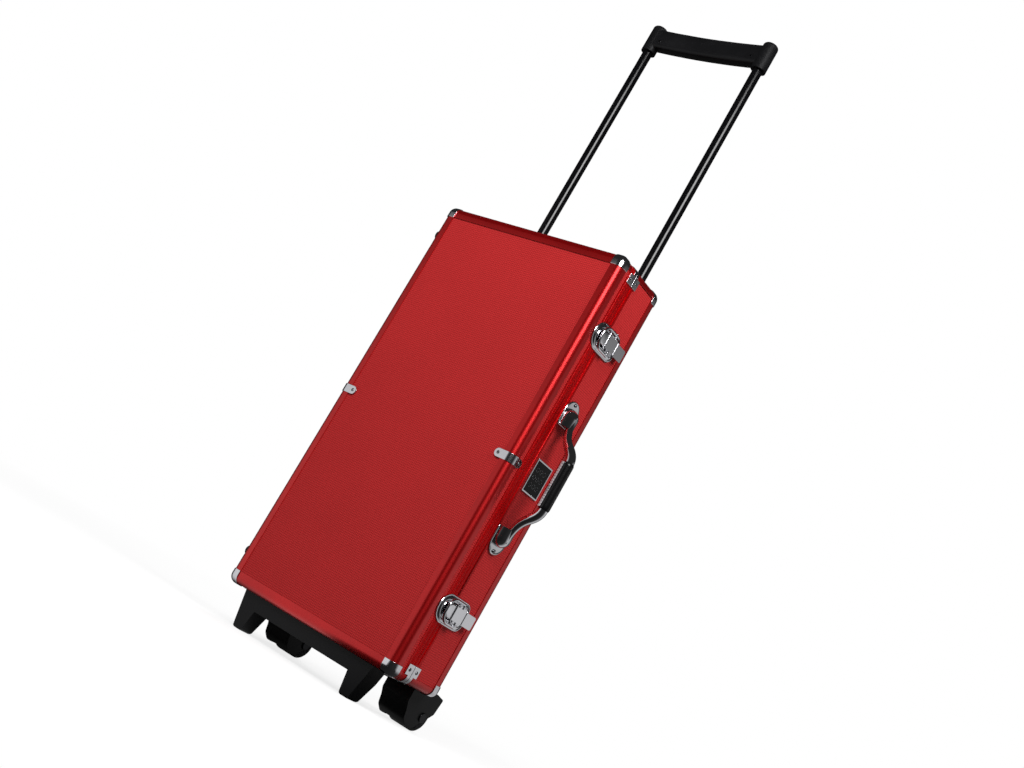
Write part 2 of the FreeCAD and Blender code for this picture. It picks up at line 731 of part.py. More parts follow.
keep(seam_plates(y_lid_end, -1), "lid_seam_plates")
keep(seam_plates(y_body_end, 1), "body_seam_plates")


def mid_strap(side):
    """Strap that wraps one long edge of the lid at half height, with round ends."""
    past = shell_out * 2
    half = d.strap_width / 2
    z = (z_mid - half, z_mid + half)
    x_end = (x_side - d.strap_front + half) * side
    y_end = y_front + d.strap_side - half
    x = sorted((x_end, (x_side + past) * side), key=float)
    x_inner = sorted(((x_side - d.edge_radius) * side, (x_side + past) * side), key=float)
    y_skin = (y_front - past, y_front + d.edge_radius)
    parts = [
        box(x, y_skin, z),
        box(x_inner, (y_front - past, y_end), z),
        cylinder((x_end, y_front - past, z_mid), "y", half, past + d.edge_radius),
        cylinder((min(x_inner, key=float), y_end, z_mid), "x", half, past + d.edge_radius),
    ]
    return common(hardware_shell(), fuse(parts), "mid_strap")


keep(group([mid_strap(1), mid_strap(-1)]), "lid_mid_straps")


# Rivets and screws: a domed head, seated on the face that it holds

def head(point, axis, radius, height, name="rivet"):
    """Low domed head that stands on a face. axis is x, -x, y, -y, z or -z."""
    sign = -1 if axis.startswith("-") else 1
    letter = axis[-1]
    rise = d.rivet_height * 0.35
    disc = doc.addObject("Part::Cylinder", name)
    bind(disc, "Radius", radius)
    bind(disc, "Height", rise)
    cone = doc.addObject("Part::Cone", name)
    bind(cone, "Radius1", radius)
    bind(cone, "Radius2", radius * 0.55)
    bind(cone, "Height", height - rise)
    spin = FreeCAD.Rotation(V(0, 0, 1), AXES[letter] * sign)
    place(disc, point, spin)
    offsets = {"x": (rise * sign, 0, 0), "y": (0, rise * sign, 0), "z": (0, 0, rise * sign)}[letter]
    place(cone, [as_size(a) + b for a, b in zip(point, offsets)], spin)
    return fuse([disc, cone], name)


def rivet(x, y, z, axis):
    return head((x, y, z), axis, d.rivet_radius, d.rivet_height)


x_plate = x_side + shell_out
strap_rivet = d.strap_width / 2
plate_rivet = (d.seam_plate_reach + d.seam_plate_shoulder) / 2
wing_middle = d.seam_plate_wing * 0.58
leaf_rivet = d.hinge_leaf * 0.68
x_leaf = x_side + d.hardware_clear + d.leaf_thickness


def plate_rivets(y):
    """Two rivets on each of the four seam plates of one half."""
    rivets = []
    for side in (1, -1):
        for z_end, up in ((z_high, 1), (z_low, -1)):
            rivets.append(rivet(x_plate * side, y, z_end - plate_rivet * up, "x" if side > 0 else "-x"))
            rivets.append(rivet((x_side - plate_rivet) * side, y, z_end + shell_out * up, "z" if up > 0 else "-z"))
    return rivets


def leaf_rivets(y):
    """Two rivets on each hinge leaf of one half."""
    return [rivet(-x_leaf, y, z + d.hinge_length * 0.28 * up, "-x") for z in z_hinges for up in (1, -1)]


lid_rivets = plate_rivets(y_lid_end - wing_middle) + leaf_rivets(y_lid_end - leaf_rivet)
for side in (1, -1):
    lid_rivets.append(rivet((x_side - d.strap_front + strap_rivet) * side, y_front - shell_out, z_mid, "-y"))
    lid_rivets.append(rivet(x_plate * side, y_front + d.strap_side - strap_rivet, z_mid, "x" if side > 0 else "-x"))
keep(group(lid_rivets), "lid_rivets")


# Draw latches on the latch side

x_latch = x_side + d.hardware_clear
x_latch_top = x_latch + d.latch_plate
x_lever = x_latch_top + d.lever_lift
y_lever_pivot = y_seam + d.lever_pivot
x_lever_pivot = x_lever + d.lever_knuckle
y_ring_pin = y_seam + d.ring_pin
x_ring_pin = x_lever + d.lever_height / 2
lever_half = d.lever_width / 2
ear_in = lever_half + d.ear_gap
ear_out = ear_in + d.ear_thickness
ring_out = d.ring_inner + d.ring_bar


def latch_base(z):
    """Plate on the body with two ears for the lever's pin."""
    half = d.latch_radius
    y_end = y_seam + d.latch_length
    plate = box((x_latch, x_latch_top), (y_body_end, y_end), (z - half, z + half))

    def far_corner(edge):
        return along(edge, "x") and edge.CenterOfMass.y > float(y_end) - 1
    plate = rounded(plate, d.latch_corner, far_corner)
    rest = box((x_side - d.skin + d.hardware_clear, x_latch + d.skin),
               (y_body_strip + d.seam_gap, y_end - d.latch_corner), (z - half * 0.6, z + half * 0.6))
    parts = [plate, rest]
    bores = []
    for side in (1, -1):
        z_ear = sorted((z + ear_in * side, z + ear_out * side), key=float)
        parts.append(box((x_latch, x_lever_pivot), (y_lever_pivot - d.lever_knuckle, y_lever_pivot + d.lever_knuckle),
                         z_ear))
        parts.append(cylinder((x_lever_pivot, y_lever_pivot, z_ear[0]), "z", d.lever_knuckle, d.ear_thickness))
        bores.append(cylinder((x_lever_pivot, y_lever_pivot, z_ear[0] - 1), "z", d.latch_pin, d.ear_thickness + 2))
    return cut(fuse(parts), bores, "latch_base")


def latch_catch(z):
    """Round-ended plate on the lid with the block that the draw ring passes."""
    centre = y_seam + d.latch_round_centre
    disc = cylinder((x_latch, centre, z), "x", d.latch_radius, d.latch_plate)
    keep_side = box((x_latch, x_latch_top), (centre - d.latch_radius * 2, y_lid_end),
                    (z - d.latch_radius, z + d.latch_radius))
    plate = common(disc, keep_side)
    y_block = y_seam - d.ring_reach + d.ring_bar
    low = box((x_latch, x_latch_top + d.catch_height), (y_block + lever_half * 0.6, y_lid_end),
              (z - lever_half, z + lever_half))
    nose = box((x_latch, x_latch_top + d.catch_height), (y_block, y_block + lever_half * 0.6),
               (z - lever_half * 0.62, z + lever_half * 0.62))
    over = box((x_latch_top + d.lever_lift, x_latch_top + d.catch_height),
               (y_lid_end - d.skin, y_seam + d.catch_overhang - d.seam_gap),
               (z - lever_half, z + lever_half))
    return fuse([plate, low, nose, over], "latch_catch")


def latch_lever(z):
    """Lever: knuckle round its pin, a thick part that carries the ring pin, and a thin end."""
    low, width = z - lever_half, d.lever_width
    thick = box((x_lever, x_lever + d.lever_height), (y_lever_pivot, y_seam + d.lever_step),
                (low, z + lever_half))
    thin = box((x_lever, x_lever + d.lever_thin), (y_seam + d.lever_step - 1, y_seam + d.lever_length),
               (low + d.ear_gap, z + lever_half - d.ear_gap))

    def far_corner(edge):
        return along(edge, "x") and edge.CenterOfMass.y > float(y_seam + d.lever_step)
    thin = rounded(thin, d.lever_knuckle, far_corner)
    knuckle = cylinder((x_lever_pivot, y_lever_pivot, low), "z", d.lever_knuckle, width)
    bore = cylinder((x_lever_pivot, y_lever_pivot, low - 1), "z", d.latch_pin + d.pin_clear, width + 2)
    pin_hole = cylinder((x_ring_pin, y_ring_pin, low - 1), "z", d.latch_pin, width + 2)
    return cut(fuse([thick, thin, knuckle]), [bore, pin_hole], "latch_lever")


def draw_ring(z):
    """U-shaped ring: two arms on the ring pin and a bar that passes in front of the catch."""
    x = (x_ring_pin - d.ring_thickness / 2, x_ring_pin + d.ring_thickness / 2)
    y_bar = y_seam - d.ring_reach
    outer = box(x, (y_bar, y_ring_pin), (z - ring_out, z + ring_out))

    def front_corner(edge):
        return along(edge, "x") and edge.CenterOfMass.y < float(y_bar) + 1
    outer = rounded(outer, d.ring_inner * 0.8, front_corner)
    inner = box((x[0] - 1, x[1] + 1), (y_bar + d.ring_bar, y_ring_pin + ring_out),
                (z - d.ring_inner, z + d.ring_inner))
    inner = rounded(inner, d.ring_inner * 0.5, front_corner_of(y_bar + d.ring_bar))
    arms = cut(outer, inner)
    eyes = []
    bores = []
    for side in (1, -1):
        z_eye = sorted((z + d.ring_inner * side, z + ring_out * side), key=float)
        eyes.append(cylinder((x_ring_pin, y_ring_pin, z_eye[0]), "z", d.ring_thickness / 2 + 0.4, d.ring_bar))
        bores.append(cylinder((x_ring_pin, y_ring_pin, z_eye[0] - 1), "z", d.latch_pin + d.pin_clear, d.ring_bar + 2))
    return cut(fuse([arms] + eyes), bores, "draw_ring")


def front_corner_of(y_line):
    def test(edge):
        return along(edge, "x") and edge.CenterOfMass.y < float(y_line) + 1
    return test


def latch_pin_at(x, y, z, half):
    return cylinder((x, y, z - half), "z", d.latch_pin, half * 2, "latch_pin")


lever_pins = []
for stem, z in zip(("upper", "lower"), z_latches):
    keep(latch_base(z), f"{stem}_latch_base")
    keep(latch_catch(z), f"{stem}_latch_catch")
    keep(latch_lever(z), f"{stem}_latch_lever")
    keep(draw_ring(z), f"{stem}_latch_ring")
    keep(latch_pin_at(x_ring_pin, y_ring_pin, z, ring_out), f"{stem}_ring_pin")
    lever_pins.append(latch_pin_at(x_lever_pivot, y_lever_pivot, z, ear_out))
keep(group(lever_pins), "latch_lever_pins")


# Carry handle

y_handle = y_seam + d.handle_side
x_bracket = x_side - d.skin + d.hardware_clear
x_pivot = x_side + d.handle_pivot
x_grip = x_side + d.handle_reach
bail_bore = d.bail_radius + d.pin_clear
bracket_screws = []


def handle_bracket(up):
    """Round-ended plate with a hood over the end of the handle's bar. up is 1 above, -1 below."""
    z_open = z_mid + d.handle_gap / 2 * up
    half = d.bracket_width / 2
    z_round = z_open + (d.bracket_length - half) * up
    z_plate = sorted((z_open, z_round), key=float)
    z_hood = sorted((z_open, z_open + d.hood_length * up), key=float)
    x_top = x_bracket + d.bracket_plate + d.skin
    plate = [box((x_bracket, x_top), (y_handle - half, y_handle + half), z_plate),
             cylinder((x_bracket, y_handle, z_round), "x", half, x_top - x_bracket)]
    hood_half = d.hood_width / 2
    hood = [box((x_bracket, x_pivot), (y_handle - hood_half, y_handle + hood_half), z_hood),
            cylinder((x_pivot, y_handle, z_hood[0]), "z", hood_half, d.hood_length)]
    bore_start = z_open - 1 if up > 0 else z_open - d.bail_insert - d.pin_clear * 5
    bore = cylinder((x_pivot, y_handle, bore_start), "z", bail_bore, d.bail_insert + 1 + d.pin_clear * 5)
    y_clear = y_body_strip + d.seam_gap
    seam_side = box((x_bracket - 1, x_side + d.hardware_clear), (y_handle - half * 2, y_clear),
                    (z_open - d.bracket_length * 2, z_open + d.bracket_length * 2))
    bead_side = box((x_bracket - 1, x_side + d.bead_height + d.seam_gap),
                    (y_handle - half * 2, y_seam + d.bead_offset + d.bead_width),
                    (z_open - d.bracket_length * 2, z_open + d.bracket_length * 2))
    z_screw = z_open + (d.bracket_length - d.rivet_radius * 2) * up
    bracket_screws.append(rivet(x_top, y_handle, z_screw, "x"))
    return cut(fuse(plate + hood), [bore, seam_side, bead_side], "handle_bracket")


def bail_path():
    """Middle line of the bar: in from one bracket, out to the grip, and back to the other."""
    half_gap = float(d.handle_gap) / 2
    centre = float(z_mid)
    x_near, x_far, y = float(x_pivot), float(x_grip), float(y_handle)
    tip = half_gap + float(d.bail_insert)
    slope_start = half_gap - float(d.bail_run)
    slope_end = slope_start - float(d.bail_slope)
    corners = [(x_near, centre + tip), (x_near, centre + slope_start), (x_far, centre + slope_end),
               (x_far, centre - slope_end), (x_near, centre - slope_start), (x_near, centre - tip)]
    points = [V(x, y, z) for x, z in corners]
    bends = [float(size) for size in (d.bail_bend, d.bail_sweep, d.bail_sweep, d.bail_bend)]
    return rounded_path(points, bends)


def rounded_path(points, bends):
    """Straight runs joined by arcs that touch both runs."""
    edges = []
    start = points[0]
    for before, corner, after, bend in zip(points, points[1:], points[2:], bends):
        back = (before - corner).normalize()
        on = (after - corner).normalize()
        half_angle = math.acos(max(-1.0, min(1.0, back.dot(on)))) / 2
        trim = bend / math.tan(half_angle)
        enter, leave = corner + back * trim, corner + on * trim
        bisector = (back + on).normalize()
        middle = corner + bisector * (bend / math.sin(half_angle) - bend)
        edges.append(Part.LineSegment(start, enter).toShape())
        edges.append(Part.Arc(enter, middle, leave).toShape())
        start = leave
    edges.append(Part.LineSegment(start, points[-1]).toShape())
    return Part.Wire(edges)


def bent_bar(wire, radius, start, direction):
    """Round bar along a path."""
    section = Part.Wire([Part.Circle(start, direction, radius).toShape()])
    return wire.makePipeShell([section], True, False)


bail_wire = bail_path()
bail_top = V(float(x_pivot), float(y_handle), float(z_mid + d.handle_gap / 2 + d.bail_insert))
keep(handle_bracket(1), "upper_handle_bracket")
keep(handle_bracket(-1), "lower_handle_bracket")
keep_shape(bent_bar(bail_wire, float(d.bail_radius), bail_top, V(0, 0, -1)), "handle_bail")

grip_half = d.grip_length / 2
sleeve = new_body("grip_sleeve")
sleeve_sketch = new_sketch(sleeve, "XY_Plane", z_mid - grip_half)
circle(sleeve_sketch, (x_grip, y_handle), d.grip_radius)
circle(sleeve_sketch, (x_grip, y_handle), d.bail_radius + d.tube_fit)
pad(sleeve, sleeve_sketch, d.grip_length)


def sleeve_rim(edge):
    circle_edge = edge.Curve.TypeId == "Part::GeomCircle"
    return circle_edge and abs(edge.Curve.Radius - float(d.grip_radius)) < 0.01


round_edges(sleeve, d.grip_radius * 0.28, sleeve_rim)
keep(sleeve, "carry_grip")


# Name plate, left blank

badge_frame = new_body("badge_frame_body")
frame_face = new_sketch(badge_frame, "YZ_Plane", x_bracket)
badge_y = (y_body_strip + d.badge_front_margin, y_back - d.edge_leg - d.badge_back_margin)
badge_z = (z_mid - d.badge_height / 2, z_mid + d.badge_height / 2)
rectangle(frame_face, badge_y, badge_z)
pad(badge_frame, frame_face, d.badge_thickness)
recess = new_sketch(badge_frame, "YZ_Plane", x_bracket + d.badge_thickness)
rectangle(recess, (badge_y[0] + d.badge_frame, badge_y[1] - d.badge_frame),
          (badge_z[0] + d.badge_frame, badge_z[1] - d.badge_frame))
pocket(badge_frame, recess, d.badge_recess + d.badge_frame / 4)
keep(badge_frame, "badge_frame")
inset = d.badge_frame + d.seam_gap / 4
keep(box((x_bracket + d.badge_thickness - d.badge_recess - d.badge_frame / 4, x_bracket + d.badge_thickness - d.badge_recess),
         (badge_y[0] + inset, badge_y[1] - inset), (badge_z[0] + inset, badge_z[1] - inset)), "badge_plate")


# Hinges on the hinge side

knuckle_count = 5
knuckle = d.hinge_length / knuckle_count


def hinge_leaf(z, towards, first):
    """Leaf with every second knuckle. towards is the Y direction off the seam."""
    z_start = z - d.hinge_length / 2
    y_far = y_seam + d.hinge_leaf * towards
    y_near = y_seam + (d.knuckle_radius + d.knuckle_gap) * towards
    x = (-(x_side + d.hardware_clear + d.leaf_thickness), -(x_side + d.hardware_clear))
    parts = [box(x, sorted((y_near, y_far), key=float), (z_start, z_start + d.hinge_length))]
    bores = []
    for index in range(first, knuckle_count, 2):
        low = z_start + knuckle * index + d.knuckle_gap / 2
        parts.append(cylinder((x_hinge_axis, y_seam, low), "z", d.knuckle_radius, knuckle - d.knuckle_gap))
        parts.append(box(x, sorted((y_seam, y_near + d.knuckle_gap * towards), key=float),
                         (low, low + knuckle - d.knuckle_gap)))
    clear = d.pin_clear if towards < 0 else 0
    bores.append(cylinder((x_hinge_axis, y_seam, z_start - 1), "z", d.hinge_pin + clear, d.hinge_length + 2))
    return cut(fuse(parts), bores, "hinge_leaf")


hinge_pins = []
for stem, z in zip(("upper", "lower"), z_hinges):
    keep(hinge_leaf(z, -1, 1), f"{stem}_hinge_lid_leaf")
    keep(hinge_leaf(z, 1, 0), f"{stem}_hinge_body_leaf")
    hinge_pins.append(cylinder((x_hinge_axis, y_seam, z - d.hinge_length / 2), "z", d.hinge_pin, d.hinge_length))
keep(group(hinge_pins), "hinge_pins")


# Small feet on the hinge side

def bumpers(y):
    items = []
    for z in (z_low + d.bumper_end, z_high - d.bumper_end):
        foot = cylinder((-(x_side + d.bumper_height), y, z), "x", d.bumper_radius, d.bumper_height)

        def outer_rim(edge):
            return edge.CenterOfMass.x < -float(x_side) - float(d.bumper_height) + 0.1
        items.append(rounded(foot, d.bumper_height * 0.5, lambda edge: outer_rim(edge) and edge.Closed and
                             edge.Curve.TypeId == "Part::GeomCircle"))
    return items


keep(group(bumpers(y_front + d.bumper_side)), "lid_bumpers")
keep(group(bumpers(y_back - d.bumper_side)), "body_bumpers")
body_rivets = plate_rivets(y_body_end + wing_middle) + leaf_rivets(y_body_end + leaf_rivet)
keep(group(body_rivets + bracket_screws), "body_rivets")


# Inside: tile tray in the body, lining pad in the lid

tray_x = (profile_in + d.tray_gap - x_side, x_side - profile_in - d.tray_gap)
tray_z = (z_low + profile_in + d.tray_gap, z_high - profile_in - d.tray_gap)
y_tray = (y_seam + d.tray_top, y_back - profile_in - d.lining_seat)
tray = new_body("tray")
tray_face = new_sketch(tray, "XZ_Plane", -y_tray[0])
rectangle(tray_face, tray_x, tray_z)
pad(tray, tray_face, y_tray[1] - y_tray[0], backwards=True)
well_depth = y_tray[1] - y_tray[0] - d.tray_floor
rack_x = (tray_x[1] - d.tray_wall - d.rack_well_width, tray_x[1] - d.tray_wall)
rack_well = new_sketch(tray, "XZ_Plane", -y_tray[0])
rectangle(rack_well, rack_x, (tray_z[0] + d.tray_wall, tray_z[1] - d.tray_wall))
pocket(tray, rack_well, well_depth)
columns = int(d.tile_well_columns.value)
rows = int(d.tile_well_rows.value)
well_width = (rack_x[0] - tray_x[0] - d.tray_wall) / d.tile_well_columns - d.tray_wall
well_height = (tray_z[1] - tray_z[0] - d.tray_wall) / d.tile_well_rows - d.tray_wall
tile_well = new_sketch(tray, "XZ_Plane", -y_tray[0])
rectangle(tile_well, (tray_x[0] + d.tray_wall, tray_x[0] + d.tray_wall + well_width),
          (tray_z[0] + d.tray_wall, tray_z[0] + d.tray_wall + well_height))
first_well = pocket(tray, tile_well, well_depth)
well_grid = tray.newObject("PartDesign::MultiTransform", "well_grid")
well_grid.Originals = [first_well]
steps = []
for role, count, pitch in (("X_Axis", columns, well_width + d.tray_wall), ("Z_Axis", rows, well_height + d.tray_wall)):
    line = [item for item in tray.Origin.OriginFeatures if item.Role == role][0]
    step = tray.newObject("PartDesign::LinearPattern", "well_step")
    step.Direction = (line, [""])
    step.Occurrences = count
    bind(step, "Length", pitch * (count - 1))
    steps.append(step)
well_grid.Transformations = steps
tray.Tip = well_grid
keep(tray, "tile_tray")

pad_x = (profile_in + d.pad_gap - x_side, x_side - profile_in - d.pad_gap)
pad_z = (z_low + profile_in + d.pad_gap, z_high - profile_in - d.pad_gap)
y_pad = y_front + profile_in + d.lining_seat
keep(box(pad_x, (y_pad, y_pad + d.pad_thickness), pad_z), "lid_lining_pad")


# Trolley: fixed tubes, sliding rods and the grip

z_tube_low = z_low + d.tube_bottom
z_tube_top = z_high - d.tube_top
z_socket = z_high + d.handle_out
z_rod_low = z_tube_top - d.rod_overlap
z_rod_top = z_socket + d.socket_depth


def round_bar(name, x, low, high, radius, bore=None):
    """Upright rod or tube of the trolley."""
    body = new_body(name)
    face = new_sketch(body, "XY_Plane", low)
    circle(face, (x, y_rods), radius)
    if bore is not None:
        circle(face, (x, y_rods), bore)
    pad(body, face, high - low)
    return body


sliders = []
for stem, side in (("left", -1), ("right", 1)):
    x = x_rods * side
    keep(round_bar(f"{stem}_tube", x, z_tube_low, z_tube_top, d.tube_radius, d.tube_bore), f"trolley_tube_{stem}")
    keep(round_bar(f"{stem}_rod", x, z_rod_low, z_rod_top, d.rod_radius, d.rod_radius - d.rod_wall),
         f"trolley_rod_{stem}")
    sliders.append(cylinder((x, y_rods, z_rod_low - d.slider_length), "z", d.slider_radius, d.slider_length))
keep(group(sliders), "rod_sliders")

y_frame = y_back + d.back_gap
bracket_y = (y_frame, y_frame + d.spine)
z_bracket = (z_tube_top + d.bush_height - d.bracket_height, z_tube_top + d.bush_height)
top_parts = [box((-bracket_half, bracket_half), bracket_y, z_bracket)]
top_holes = []
for side in (1, -1):
    x = x_rods * side
    top_parts.append(cylinder((x, y_rods, z_bracket[0]), "z", d.boss_radius, d.bracket_height))
    top_parts.append(box((x - d.boss_radius, x + d.boss_radius), (y_frame, y_rods), z_bracket))
    top_holes.append(cylinder((x, y_rods, z_bracket[0] - 1), "z", d.tube_radius + d.tube_fit,
                              d.bracket_height - d.bush_height + 1))
    top_holes.append(cylinder((x, y_rods, z_bracket[0]), "z", d.rod_radius + d.bush_clear,
                              d.bracket_height + 1))
top_bracket = cut(fuse(top_parts), top_holes)


def bracket_end(edge):
    return along(edge, "y") and abs(abs(edge.CenterOfMass.x) - float(bracket_half)) < 0.1


keep(rounded(top_bracket, d.spine * 0.4, bracket_end), "trolley_top_bracket")


def grip_shape():
    """Cross bar that hangs a little in the middle, between two round sockets."""
    socket_low, socket_top = float(z_socket), float(z_socket + d.socket_height)
    half, depth = float(x_rods), float(d.bar_depth) / 2
    top = socket_top - float(d.bar_drop)
    low = top - float(d.bar_height)
    sag, y = float(d.bar_sag), float(y_rods)
    upper = Part.Arc(V(-half, y - depth, top), V(0, y - depth, top - sag), V(half, y - depth, top)).toShape()
    lower = Part.Arc(V(half, y - depth, low), V(0, y - depth, low - sag), V(-half, y - depth, low)).toShape()
    ends = [Part.LineSegment(V(half, y - depth, top), V(half, y - depth, low)).toShape(),
            Part.LineSegment(V(-half, y - depth, low), V(-half, y - depth, top)).toShape()]
    bar = Part.Face(Part.Wire([upper, ends[0], lower, ends[1]])).extrude(V(0, depth * 2, 0))
    long_edges = [edge for edge in bar.Edges if abs(edge.CenterOfMass.x) < 1 and edge.Length > half]
    bar = bar.makeFillet(depth * 0.55, long_edges)
    solid = bar
    for x in (-half, half):
        socket = Part.makeCylinder(float(d.socket_radius), socket_top - socket_low, V(x, y, socket_low))
        rims = [edge for edge in socket.Edges if edge.Closed and edge.CenterOfMass.z > socket_top - 1]
        socket = socket.makeFillet(float(d.socket_radius) * 0.42, rims)
        solid = solid.fuse(socket)
    for x in (-half, half):
        solid = solid.cut(Part.makeCylinder(float(d.rod_radius + d.tube_fit), float(d.socket_depth + d.tube_fit),
                                            V(x, y, socket_low)))
    return solid.removeSplitter()


keep_shape(grip_shape(), "trolley_grip")
y_bar_front = y_rods - d.bar_depth / 2
z_grip_screw = z_socket + d.socket_height - d.bar_drop - d.bar_height * 0.72
grip_screws = [head((x_rods * side - d.socket_radius * 1.45 * side, y_bar_front, z_grip_screw), "-y",
                    d.rivet_radius, d.rivet_height, "screw") for side in (1, -1)]
keep(group(grip_screws), "trolley_grip_screws")


# Base: front bar with two feet, a plate under the case, an upstand behind it, and two wheel housings

z_base_top = z_low - d.base_gap
z_bar_low = z_low - d.base_bar
z_plate_low = z_base_top - d.base_plate
y_base = y_front + d.base_front
plate_half = housing_inner - d.plate_inset


def rounded_face(corners, radii):
    """Flat face whose outline has a round at every corner with a radius."""
    edges = []
    starts = []
    ends = []
    for index, (corner, radius) in enumerate(zip(corners, radii)):
        before, after = corners[index - 1], corners[(index + 1) % len(corners)]
        if radius <= 0:
            starts.append(corner)
            ends.append(corner)
            edges.append(None)
            continue
        back = (before - corner).normalize()
        on = (after - corner).normalize()
        half_angle = math.acos(max(-1.0, min(1.0, back.dot(on)))) / 2
        trim = radius / math.tan(half_angle)
        middle = corner + (back + on).normalize() * (radius / math.sin(half_angle) - radius)
        starts.append(corner + back * trim)
        ends.append(corner + on * trim)
        edges.append(Part.Arc(starts[-1], middle, ends[-1]).toShape())
    run = []
    for index, edge in enumerate(edges):
        if edge is not None:
            run.append(edge)
        run.append(Part.LineSegment(ends[index], starts[(index + 1) % len(corners)]).toShape())
    return Part.Face(Part.Wire(run))


def wedge(points, y_start, depth, radii=None):
    """Prism with its outline in XZ."""
    corners = [V(float(x), float(y_start), float(z)) for x, z in points]
    face = rounded_face(corners, radii or [0] * len(corners))
    return face.extrude(V(0, float(depth), 0))


def side_prism(points, x_start, x_end, radii):
    """Prism with its outline in YZ."""
    corners = [V(float(x_start), float(y), float(z)) for y, z in points]
    return rounded_face(corners, radii).extrude(V(float(x_end) - float(x_start), 0, 0))


def block(x, y, z):
    size = [float(limits[1]) - float(limits[0]) for limits in (x, y, z)]
    return Part.makeBox(size[0], size[1], size[2], unit(x[0], y[0], z[0]))


def slant_at(z):
    """Half the length of the base's slanted end at a height."""
    share = (float(z_base_top) - float(z)) / float(z_base_top)
    return float(base_half_top) - (float(base_half_top) - float(base_half_bottom)) * share


# Side view of a wheel housing, from the base bar round the wheel to its top behind the case.
# Distance behind the axle, height above the floor and corner radius, all in wheel radii.
HOUSING = [(-2.0, 1.5, 0), (-1.75, 1.05, 0.5), (-1.58, 0.5, 0.5), (-1.1, 0.125, 0.5), (-0.5, 0.125, 0.3),
           (0.4, 0.95, 0.4), (0.9, 1.45, 0.25), (1.05, 2.45, 0.1), (0.3, 2.6, 0)]


def housing_outline():
    radius = float(d.wheel_radius)
    points = [(float(y_axle) + along_y * radius, up * radius) for along_y, up, corner in HOUSING]
    radii = [corner * radius for along_y, up, corner in HOUSING]
    behind = float(y_frame) + 0.5
    points += [(behind, points[-1][1]), (behind, float(z_base_top)), (points[0][0], float(z_base_top))]
    return points, radii + [0, 0, 0]


def wheel_housing(side):
    """Hollow box round one wheel, open below and at the rear."""
    outer = sorted((float(housing_outer) * side, float(housing_inner) * side))
    wall = float(d.housing_wall)
    points, radii = housing_outline()
    shell = side_prism(points, outer[0], outer[1], radii)
    inner = (outer[0] + wall, outer[1] - wall)
    room = float(d.wheel_radius) + 3
    axle = V(inner[0], float(y_axle), float(d.wheel_radius))
    hollow = Part.makeCylinder(room, inner[1] - inner[0], axle, V(1, 0, 0))
    below = block(inner, (y_axle - room, y_axle + room * 2), (-5, d.wheel_radius))
    behind = block(inner, (y_axle, y_axle + room * 2), (-5, d.wheel_radius + room * 0.55))
    return shell, [hollow, below, behind]


def foot_shape(side):
    """Front foot, narrower and shallower towards the floor."""
    top, low = float(z_base_top), float(z_bar_low)
    corner = float(d.foot_corner)
    front = [(slant_at(top) * side, top), (slant_at(0) * side, 0), (float(foot_inner_bottom) * side, 0),
             (float(foot_inner_top) * side, low), (float(foot_inner_top) * side, top)]
    reach = float(y_base + d.foot_depth)
    profile = [(float(y_base), top), (float(y_base), 0), (float(y_base + d.foot_depth_bottom), 0),
               (reach, low), (reach, top)]
    across = side_prism(profile, float(foot_inner_top) * side, float(base_half_top) * side,
                        [0, corner / 2, corner, 0, 0])
    return wedge(front, y_base, d.foot_depth, [0, corner, corner, corner, 0]).common(across)


def base_shape():
    """The whole moulding: bar, feet, plate, upstand, tube sockets and wheel housings."""
    plate_end = float(y_back) + float(d.base_rear)
    top, low = float(z_base_top), float(z_bar_low)
    bar_ends = [(-slant_at(top), top), (slant_at(top), top), (slant_at(low), low), (-slant_at(low), low)]
    solid = wedge(bar_ends, y_base, d.foot_depth)
    hollow = block((-foot_room(), foot_room()), (y_base + d.housing_wall, y_base + d.foot_depth - d.housing_wall),
                   (low - 1, z_plate_low))
    solid = solid.cut(hollow)
    solid = solid.fuse(block((-plate_half, plate_half), (y_base, plate_end), (z_plate_low, top)))
    for side in (1, -1):
        solid = solid.fuse(foot_shape(side))
    upstand = block((-bracket_half, bracket_half), (y_frame, y_frame + d.spine), (z_plate_low, z_low + d.upstand))
    solid = solid.fuse(upstand)
    hollows = []
    for side in (1, -1):
        shell, rooms = wheel_housing(side)
        solid = solid.fuse(shell)
        hollows += rooms
        x = float(x_rods) * side
        z_boss = float(z_low) + 0.5
        boss = Part.makeCylinder(float(d.boss_radius), float(z_low + d.upstand) - z_boss, V(x, float(y_rods), z_boss))
        web = block((x - float(d.boss_radius), x + float(d.boss_radius)), (y_frame, y_rods), (z_boss, z_low + d.upstand))
        solid = solid.fuse(boss).fuse(web)
    for room in hollows:
        solid = solid.cut(room)
    for side in (1, -1):
        x = float(x_rods) * side
        solid = solid.cut(Part.makeCylinder(float(d.tube_radius + d.tube_fit), float(d.case_height),
                                            V(x, float(y_rods), float(z_tube_low))))
        outer = sorted((float(housing_outer) * side, float(housing_inner) * side))
        solid = solid.cut(Part.makeCylinder(float(d.axle_radius), outer[1] - outer[0] + 2,
                                            V(outer[0] - 1, float(y_axle), float(d.wheel_radius)), V(1, 0, 0)))
    for x, y in base_bolts():
        pad_top = float(z_low + d.skin) - float(d.hardware_clear)
        solid = solid.fuse(Part.makeCylinder(float(d.boss_radius) * 0.7, pad_top - float(z_plate_low),
                                             V(x, y, float(z_plate_low))))
    return solid.removeSplitter()


def foot_room():
    return float(foot_inner_top) - float(d.housing_wall)


def base_bolts():
    """Places of the four bosses that carry the case on the base."""
    y_first = float(y_body_strip) + float(d.boss_radius)
    y_second = float(y_back) - float(d.edge_leg) - float(d.boss_radius)
    x_bolt = float(plate_half) - float(d.boss_radius)
    return [(x, y) for x in (-x_bolt, x_bolt) for y in (y_first, y_second)]


